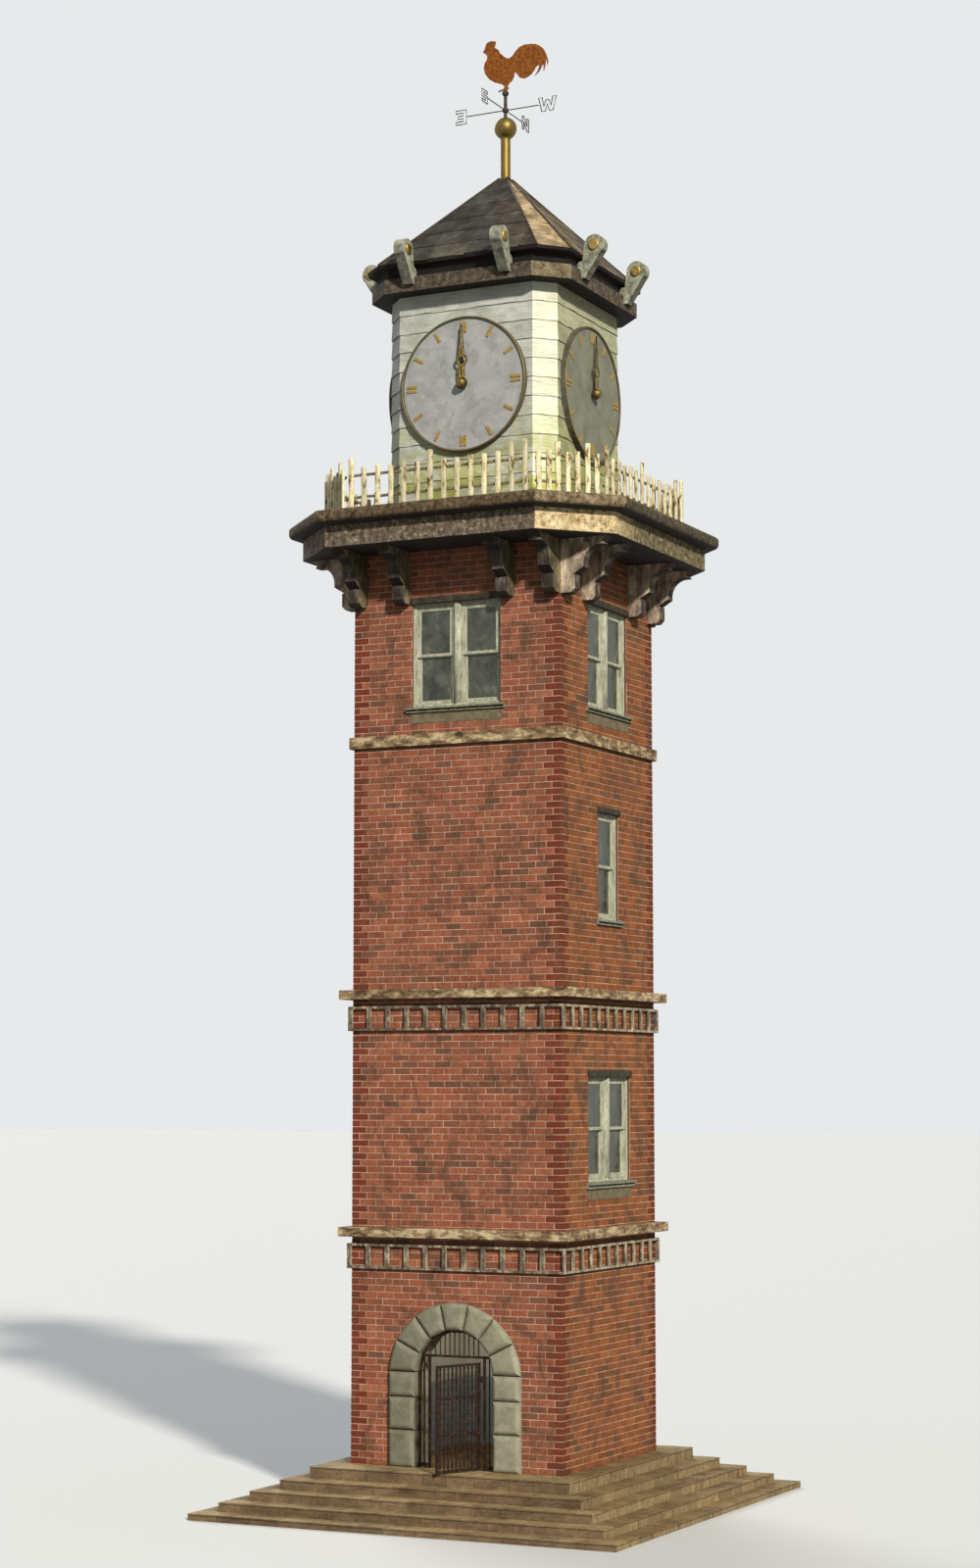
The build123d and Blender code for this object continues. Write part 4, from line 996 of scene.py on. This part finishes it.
def mitre_fills():
    """Stone in the open mitres of the balcony and the eaves, where their corners are cut off; the fills of
    the eaves' upper course are painted near black as shade.
    """
    for node, looks in (("balcony_fascia", ("fascia",)), ("eaves", ("eaves", "roof"))):
        points, levels, edge = corners_of(node), levels_of(node), EDGES[node]
        half = MITRE_HALF + edge
        for course, (low, high, look) in enumerate(zip(levels[:-1], levels[1:], looks)):
            shapes = Shapes()
            for angle in EIGHT_SIDES[1::2]:
                along, out = unfolded(points, angle)
                near = (abs(along) < MITRE_HALF) & (out > 0)
                reach = [set(np.round(out[near & (abs(points[:, 2] - level) < MITRE_SUNK)], LEVEL_DIGITS))
                         for level in (low, high)]
                front = max(reach[0] & reach[1]) - MITRE_SUNK
                block(shapes, -half, half, low + MITRE_SUNK, high - MITRE_SUNK, front - MITRE_DEEP, front,
                      edge, angle)
            shapes.build(f"mitres_{node}_{course}", look, "weathered_stone")


# Steps

def step_stones():
    rng = np.random.default_rng(STONE_SEED)
    names = [f"step_{number}" for number in range(1, 5)] + ["platform"]
    boxes = [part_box(name) for name in names]
    gap = STONE_JOINT / 2
    for name, (low, high), after in zip(names, boxes, boxes[1:] + [None]):
        inner = after[1] if after else (SHAFT, SHAFT)
        shapes = Shapes()
        for side, angle in enumerate(SQUARE_SIDES):
            flank = side % 2
            joints = lengths(rng, 2 * (inner[1] if flank else high.x), *STONE_LENGTHS)
            if not flank:
                joints[0] -= STONE_PROUD + gap
                joints[-1] += STONE_PROUD + gap
            for left, right in zip(joints[:-1], joints[1:]):
                uneven = STONE_UNEVEN * rng.uniform(-1, 1, 2)
                tint = shaded(WHITE, rng, STONE_SPREAD)
                outer, tuck = high[1 - flank] + STONE_PROUD + uneven[0], inner[1 - flank] - STONE_TUCK
                top = high.z + STONE_TOP + uneven[1]
                under = top - TREAD_THICK
                block(shapes, left + gap, right - gap, outer - TREAD_LAP, tuck, low.z, under - TREAD_GAP,
                      STONE_CHAMFER / 4, angle, tint, lying=True)
                block(shapes, left + gap, right - gap, outer, tuck, under, top, STONE_CHAMFER, angle,
                      times(tint, FLANK_TREAD) if flank else tint, lying=True)
        if not after:
            paving(shapes, high.z, rng)
        shapes.build(f"stones_{name}", "step", "step_stone")


def paving(shapes, top, rng):
    """Square slabs on the floor of the ground room and in the doorway."""
    gap = STONE_JOINT / 2
    edges = np.linspace(-INSIDE, INSIDE, PAVING_PIECES + 1)
    spans = [(start + gap, end - gap) for start, end in zip(edges[:-1], edges[1:])]
    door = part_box("gate_frame")[1].x
    places = [(left, right, far, near) for left, right in spans for near, far in spans]
    places += [(*ends, SHAFT - STONE_TUCK, INSIDE + STONE_JOINT) for ends in ((-door, -gap), (gap, door))]
    for place in places:
        block(shapes, *place, top - STONE_TUCK, top + STONE_TOP, STONE_CHAMFER, 0.0,
              shaded(PAVING_TINT, rng, STONE_SPREAD), lying=True)


# Gate

def twisted_bars():
    """Flat bars twisted along their length, hung with the leaf as it stands open."""
    shapes = Shapes()
    hinge = Vector(next(joint["pos_m"] for joint in frame["joints"] if joint["name"] == "gate_hinge"))
    swing = Matrix.Translation(hinge) @ Matrix.Rotation(LEAF_REST, 4, "Z") @ Matrix.Translation(-hinge)
    low, high = LEAF_LOW + GATE_BAR / 2, LEAF_LOW + LEAF_HEIGHT - GATE_BAR / 2
    steps = round((high - low) / TWIST_STEP)
    corners = [Vector((TWIST_WIDE / 2 * x, TWIST_THIN / 2 * y, 0))
               for x, y in ((1, 1), (-1, 1), (-1, -1), (1, -1))]
    for x in np.linspace(-LEAF_HALF, LEAF_HALF, LEAF_BARS + 2)[1:-1]:
        rings = []
        for up in np.linspace(low, high, steps + 1):
            middle = Matrix.Translation((x, GATE_BAR / 2 - GATE_FACE, up))
            turn = swing @ middle @ Matrix.Rotation(math.pi * (up - low) / TWIST_HALF_TURN, 4, "Z")
            rings.append([turn @ corner for corner in corners])
        shapes.loft(rings)
    shapes.build("gate_twisted_bars", "iron", "rusty_iron", body="gate")


# Balcony railing

def picket_tops(node, angle):
    """(left, right, top) of each picket of a railing run, and how near and far out the run stands."""
    points = corners_of(node)
    along, out = unfolded(points, angle)
    above = points[:, 2] > DECK_TOP + RAIL_LEVELS[1] + RAIL_TALL + RAIL_CLEAR
    groups = []
    for place, top in sorted(zip(along[above], points[above, 2])):
        if not groups or place - groups[-1][0][0] >= STAKE_APART:
            groups.append([])
        groups[-1].append((place, top))
    pickets = [(group[0][0], group[-1][0], max(top for _, top in group)) for group in groups]
    return pickets, out.min(), out.max()


def rounded(width, depth):
    """Points of a rounded oblong."""
    def swollen(part):
        return math.copysign(abs(part) ** STAKE_POWER, part) / 2
    return np.array([(swollen(math.cos(turn)) * width, swollen(math.sin(turn)) * depth)
                     for turn in around(STAKE_SIDES, 0.5)])


def stake(shapes, rng, left, right, top, out, depth, angle):
    """One uneven stake with a slanting top, its middle that far out."""
    outline = rounded(STAKE_SWELL * (right - left), depth)
    wobble = 1 + STAKE_UNEVEN * rng.uniform(-1, 1, (STAKE_RINGS, 1))
    drift = np.cumsum(STAKE_DRIFT * rng.uniform(-1, 1, (STAKE_RINGS, 2)), axis=0)
    drift[:, 1] *= STAKE_DEPTH_SHARE
    wobble[-1] *= STAKE_TIP_SHARE
    slant = rng.uniform(-STAKE_SLANT, STAKE_SLANT)
    rings = []
    for ring, share in enumerate([*np.linspace(0, STAKE_SHOULDER_SHARE, STAKE_RINGS - 1), 1.0]):
        along, deep = (outline * wobble[ring] + drift[ring]).T
        up = DECK_TOP + (top - DECK_TOP) * share + slant * along * (ring >= STAKE_RINGS - 2)
        points = np.column_stack((along + (left + right) / 2, out + deep, np.minimum(up, top)))
        rings.append(facing(points, angle))
    shapes.loft(rings, shaded(STAKE_TINT, rng, STAKE_SPREAD))


def rail(shapes, rng, end, out, low, angle):
    """One uneven rail from end to end of a run, its middle that far out."""
    rings = []
    for along in np.linspace(-end, end, max(2, round(2 * end / RAIL_STEP)) + 1):
        deep, tall = (rounded(RAIL_DEEP, RAIL_TALL) * (1 + STAKE_UNEVEN * rng.uniform(-1, 1))).T
        middle = low + RAIL_TALL / 2 + STAKE_DRIFT * rng.uniform(-1, 1)
        rings.append(facing(np.column_stack((np.full(STAKE_SIDES, along), out + deep, middle + tall)), angle))
    shapes.loft(rings, shaded(WHITE, rng, RAIL_SPREAD))


def railing_runs():
    """Uneven stakes in place of the plain pickets, and two rails behind them."""
    for number, (run, angle) in enumerate(zip(RUNS, EIGHT_SIDES)):
        name = f"railing_{run}"
        rng = np.random.default_rng(STAKE_SEED + number)
        pickets, near, far = picket_tops(name, angle)
        depth = far - near - RAIL_DEEP
        stakes, rails = Shapes(), Shapes()
        for picket in pickets:
            stake(stakes, rng, *picket, far - depth / 2, depth, angle)
        for level in RAIL_LEVELS:
            rail(rails, rng, pickets[-1][1], near + RAIL_DEEP / 2, DECK_TOP + level, angle)
        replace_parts(stakes.build(f"stakes_{name}", "stake", "picket_paint", smooth=True), name)
        rails.build(f"rails_{name}", "rail", "picket_paint", smooth=True)


# Clock room

def weatherboards():
    rng = np.random.default_rng(BOARD_SEED)
    rise = (ROOM_HIGH - ROOM_LOW) / BOARD_ROWS
    for number, (angle, half, distance) in enumerate(octagon_faces(ROOM, ROOM_CUT)):
        shapes = Shapes()
        steps = max(3, round(2 * half / BOARD_STEP))
        for row in range(BOARD_ROWS):
            low, high = ROOM_LOW + row * rise, ROOM_LOW + row * rise + rise
            rings = []
            for step in range(steps + 1):
                share = 2 * step / steps - 1
                wave = BOARD_WAVE * rng.uniform(-1, 1) if 0 < step < steps else 0.0
                foot = low + wave
                profile = ((BOARD_LAP + wave / 2, foot), (0.0, foot), (0.0, high), (BOARD_THIN, high))
                section = [(share * (half + out * MITRE), distance + out, up) for out, up in profile]
                rings.append(facing(section, angle))
            shapes.loft(rings, shaded(BOARD_TINT, rng, BOARD_SPREAD))
        shapes.build(f"boards_{number}", "boards", "white_boards")


# Dials

def on_dial(side, along, out, up):
    """Points on a dial, by how far they lie along and up from its centre and out from the tower's axis."""
    points = np.broadcast_arrays(along, out, DIAL_CENTRE + up)
    return facing(np.stack(points, axis=-1), SQUARE_SIDES[side])


def circle(side, radius, out, count, along=0.0, up=0.0):
    """Points round a circle that faces out of a dial."""
    turns = np.array(around(count))
    return on_dial(side, along + radius * np.sin(turns), out, up + radius * np.cos(turns))


def dial_mark(shapes, side, turn, middle, width, back):
    """One baton with its front edges chamfered, at a turn that runs clockwise from the top."""
    chamfer = MARK_THICK / 3
    rings = []
    for inset, out in ((0, back - chamfer), (0, back + MARK_THICK - chamfer), (chamfer, back + MARK_THICK)):
        near, far, half = MARK_INNER + inset, MARK_OUTER - inset, width / 2 - inset
        radius, across = np.array((near, near, far, far)), middle + np.array((-half, half, half, -half))
        rings.append(on_dial(side, radius * math.sin(turn) + across * math.cos(turn), out,
                             radius * math.cos(turn) - across * math.sin(turn)))
    shapes.loft(rings)


def dial_marks(side, name, back):
    """Single batons at the hours, and pairs of them at the quarters."""
    shapes = Shapes()
    pair = ((-PAIR_OFFSET, PAIR_WIDTH), (PAIR_OFFSET, PAIR_WIDTH))
    for hour in range(12):
        for middle, width in ((0.0, MARK_WIDTH),) if hour % 3 else pair:
            dial_mark(shapes, side, math.pi * hour / 6, middle, width, back)
    shapes.build(f"dial_marks_{name}", "gold", "brass_disc")


def dial_ring(side, name, out):
    """A round wire on the edge of a dial's drum."""
    shapes = Shapes()
    tube(shapes, circle(side, RIM_RING, out, RING_STEPS), RIM_TUBE, TUBE_SIDES, closed=True)
    shapes.build(f"dial_ring_{name}", "gilt", "gilded", smooth=True)


def hand_cap(side, name):
    """A low dome over the hub of a minute hand."""
    low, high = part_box(f"minute_hand_{name}")
    front = max(abs(low.x), abs(high.x), abs(low.y), abs(high.y)) - CAP_SUNK
    swells = [QUARTER * ring / (CAP_RINGS - CAP_FLAT) for ring in range(CAP_RINGS)]
    shapes = Shapes()
    shapes.loft([circle(side, CAP_RADIUS * math.cos(swell), front + CAP_RISE * math.sin(swell), CAP_SIDES)
                 for swell in swells])
    shapes.build(f"hand_cap_{name}", "gilt", "gilded", body=f"minute_{name}", smooth=True)


def hand_beads(side, name):
    """Beads on a minute hand's edges and ring, and a round wire about its hub."""
    shapes = Shapes()
    blade = hand_front(name)
    for place in bead_places():
        shapes.loft([circle(side, BEAD * math.sqrt(1 - lift * lift), blade + BEAD * lift, BEAD_SIDES, *place)
                     for lift in BEAD_LIFT_SHARES])
    hub_path = circle(side, (HUB_RADIUS + CAP_RADIUS) / 2, blade, RING_STEPS)
    tube(shapes, hub_path, (HUB_RADIUS - CAP_RADIUS) / 2, TUBE_SIDES, closed=True)
    shapes.build(f"hand_beads_{name}", "bronze", "hand_bronze", body=f"minute_{name}", smooth=True)


def dials():
    drums = on_sides("dial_rims")
    for side, name in enumerate(SIDES):
        outs = [box[5] for box in drums[side]]
        dial_marks(side, name, min(outs) - MARK_SUNK)
        dial_ring(side, name, max(outs) - RIM_TUBE / 2)
        hand_cap(side, name)
        hand_beads(side, name)


def bead_places():
    """Where beads stand on a minute hand's edges and its ring, as (along, up from the dial's centre)."""
    places = []
    for up in np.arange(HUB_RADIUS + BEAD_PITCH, HAND_REACH, BEAD_PITCH):
        if abs(up - HAND_RING_AT) >= HAND_RING:
            taper = max(0.0, (up - HAND_RING_AT) / (HAND_REACH - HAND_RING_AT))
            edge = HAND_ROOT_HALF + (HAND_TIP_HALF - HAND_ROOT_HALF) * taper
            places += [(edge, up), (-edge, up)]
    radius = HAND_RING - BEAD
    places += [(radius * math.sin(turn), HAND_RING_AT + radius * math.cos(turn))
               for turn in around(round(2 * math.pi * HAND_RING / BEAD_PITCH))]
    return places


def hand_front(name):
    """How far out the front of a minute hand's blade stands."""
    points = corners_of(f"minute_hand_{name}")
    tip = points[points[:, 2] > DIAL_CENTRE + HAND_RING_AT]
    return np.abs(tip[:, :2]).max()


# Roof

def clipped(points, half_low, half_high, low, high):
    """Cuts a flat slate, as (along, share up), at the hips, which close in from half_low to half_high."""
    def room(point, sign):
        return half_low + (half_high - half_low) * (point[1] - low) / (high - low) - sign * point[0]

    for sign in (1, -1):
        kept = []
        for first, second in zip(points, points[1:] + points[:1]):
            room_first, room_second = room(first, sign), room(second, sign)
            if room_first >= 0:
                kept.append(first)
            if room_first * room_second < 0:
                cut = room_first / (room_first - room_second)
                kept.append(tuple(a + (b - a) * cut for a, b in zip(first, second)))
        points = kept
    return points


def roof_slates():
    rng = np.random.default_rng(SLATE_SEED)
    base = ROOF_LOW + ROOF_EDGE
    height = (ROOF_HIGH - base) / (1 - ROOF_POINT_SHARE)
    shares = [(1 - ROOF_BARE_SHARE) * row / SLATE_ROWS for row in range(SLATE_ROWS + 1)]
    hips = Shapes()
    for number, (angle, half, distance) in enumerate(octagon_faces(ROOF_HALF, ROOF_CUT)):
        shapes = Shapes()
        corner = number % 2
        deep, spread = (CORNER_LAP_SHARE * SLATE_LAP, CORNER_SPREAD) if corner else (SLATE_LAP, SLATE_SPREAD)
        thin = min(SLATE_THIN, deep)
        slope = math.atan2(height, distance)
        for low, high in zip(shares[:-1], shares[1:]):
            wide_low, wide_high = half * (1 - low), half * (1 - high)
            joints = lengths(rng, 2 * wide_low, *SLATE_LENGTHS)
            for left, right in zip(joints[:-1] + SLATE_JOINT / 2, joints[1:] - SLATE_JOINT / 2):
                jag = rng.uniform(-SLATE_JAG_SHARE, SLATE_JAG_SHARE, 2)
                outline = [(left, low + jag[0]), (right, low + jag[1]), (right, high), (left, high)]
                outline = clipped(outline, wide_low, wide_high, low, high)
                if len(outline) < 3:
                    continue
                lower, upper = [], []
                for along, share in outline:
                    lift = deep + (thin - deep) * (share - low) / (high - low)
                    out, up = distance * (1 - share), base + height * share
                    lower.append((along, out, up))
                    upper.append((along, out + lift * math.sin(slope), up + lift * math.cos(slope)))
                mood = SLATE_MOODS[0 if corner else rng.choice(len(SLATE_MOODS), p=SLATE_MOOD_SHARES)]
                # Each facet's tint carries painted light and shade
                tint = shaded(times(FACET_LIGHT_TINTS[number % 4], mood), rng, spread)
                shapes.loft([facing(lower, angle), facing(upper, angle)], tint)
        shapes.build(f"slates_{number}", "slate", "roof_slate")
        hip_base = base + HIP_LIFT_SHARE * HIP_RADIUS
        ends = [(half * (1 - share), distance * (1 - share), hip_base + height * share)
                for share in (shares[0], shares[-1])]
        # Dark rolls along the hips, partly real hip rolls and partly painted shadow along each hip
        tube(hips, facing(ends, angle), HIP_RADIUS, HIP_SIDES)
    hips.build("roof_hips", "dark", "dark_iron", smooth=True)


# Compass

def compass_letters():
    """Wire outlines of the four letters at the ends of the compass arms."""
    low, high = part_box("compass")
    reaches = (-low.y, high.x, high.y, -low.x)
    points = corners_of("compass")
    tip = points[points[:, 0] > points[:, 0].max() - ARM_TIP]
    middle = float((tip[:, 2].min() + tip[:, 2].max()) / 2)
    for letter, (side, width, height) in LETTER_PLACES.items():
        shapes = Shapes()
        path = [(0.0, reaches[side] + width * across, middle + height * (up - 0.5))
                for across, up in LETTER_SHARES[letter]]
        tube(shapes, facing(path, SQUARE_SIDES[side]), WIRE, WIRE_SIDES, closed=True)
        shapes.build(f"compass_{letter}", "wire", "dark_iron", smooth=True)


# Stage

def distant_lamp(name, azimuth, height, strength, spread, colour):
    made = bpy.data.objects.new(name, bpy.data.lights.new(name, "SUN"))
    made.data.energy = strength
    made.data.angle = spread
    made.data.color = colour
    level = math.cos(height)
    towards = Vector((math.sin(azimuth) * level, -math.cos(azimuth) * level, math.sin(height)))
    made.rotation_euler = towards.to_track_quat("Z", "Y").to_euler()
    return made


def room_lamp():
    """A soft lamp over the inside of the doorway, which lights the ground room and isn't seen itself."""
    made = bpy.data.objects.new("room_lamp", bpy.data.lights.new("room_lamp", "AREA"))
    made.data.energy = ROOM_LAMP_POWER
    made.data.size = ROOM_LAMP_SIZE
    made.location = ROOM_LAMP_PLACE
    made.rotation_euler = (ROOM_LAMP_PLACE - ROOM_LAMP_TARGET).to_track_quat("Z", "Y").to_euler()
    made.visible_camera = made.visible_glossy = made.visible_transmission = False
    return made


def seen_directly(nodes):
    """One where a surface is seen, also in metal or through glass, and nothing where it only throws light."""
    rays = nodes.node("LightPath")
    seen = nodes.maths("MAXIMUM", rays["Is Camera Ray"], rays["Is Glossy Ray"])
    return nodes.maths("MAXIMUM", seen, rays["Is Transmission Ray"])


def studio_sky(scene):
    """Even light from all round, with a pale background where the camera sees it."""
    scene.world = bpy.data.worlds.new("studio")
    scene.world.use_nodes = True
    sky = Nodes(scene.world.node_tree)
    light = sky.tree.nodes["Background"]
    sky.feed(light.inputs["Color"], SKY_LIGHT)
    sky.feed(light.inputs["Strength"], SKY_STRENGTH)
    shown = sky.node("Background", {"Color": SKY_SHOWN})[0]
    mixed = sky.node("MixShader", {0: seen_directly(sky), 1: light.outputs[0], 2: shown})[0]
    sky.feed(sky.tree.nodes["World Output"].inputs["Surface"], mixed)


def stage():
    scene = bpy.context.scene
    scene.view_settings.view_transform = "Standard"
    mesh = bpy.data.meshes.new("floor")
    corners = [(FLOOR_HALF * x, FLOOR_HALF * y, -FLOOR_DROP) for x, y in ((-1, -1), (1, -1), (1, 1), (-1, 1))]
    mesh.from_pydata(corners, [], [(0, 1, 2, 3)])
    look = Look("floor", FLOOR_ROUGHNESS)
    look.feed(look.shader["Base Color"], look.mix(seen_directly(look), FLOOR_BOUNCE, FLOOR_SHOWN))
    mesh.materials.append(look.material)
    floor = bpy.data.objects.new("floor", mesh)
    lamps = [distant_lamp(name, *values) for name, values in LAMPS.items()]
    camera = bpy.data.objects.new("camera", bpy.data.cameras.new("camera"))
    camera.data.lens = CAMERA_LENS
    camera.data.sensor_width = CAMERA_SENSOR
    camera.data.clip_end = 4 * FLOOR_HALF
    camera.location = CAMERA_PLACE
    camera.rotation_euler = CAMERA_TURN
    for item in (floor, *lamps, room_lamp(), camera):
        scene.collection.objects.link(item)
    scene.camera = camera
    floor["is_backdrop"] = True
    studio_sky(scene)


dress_all()
brick_walls()
apron_plaster()
window_dentils()
window_latches()
sill_shadow_slots()
window_beads()
window_posts()
mitre_fills()
step_stones()
twisted_bars()
railing_runs()
weatherboards()
dials()
roof_slates()
compass_letters()
stage()

boxes = {"cad": CAD_BOX, "visual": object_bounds()}
{name: [list(corner) for corner in box] for name, box in boxes.items()}
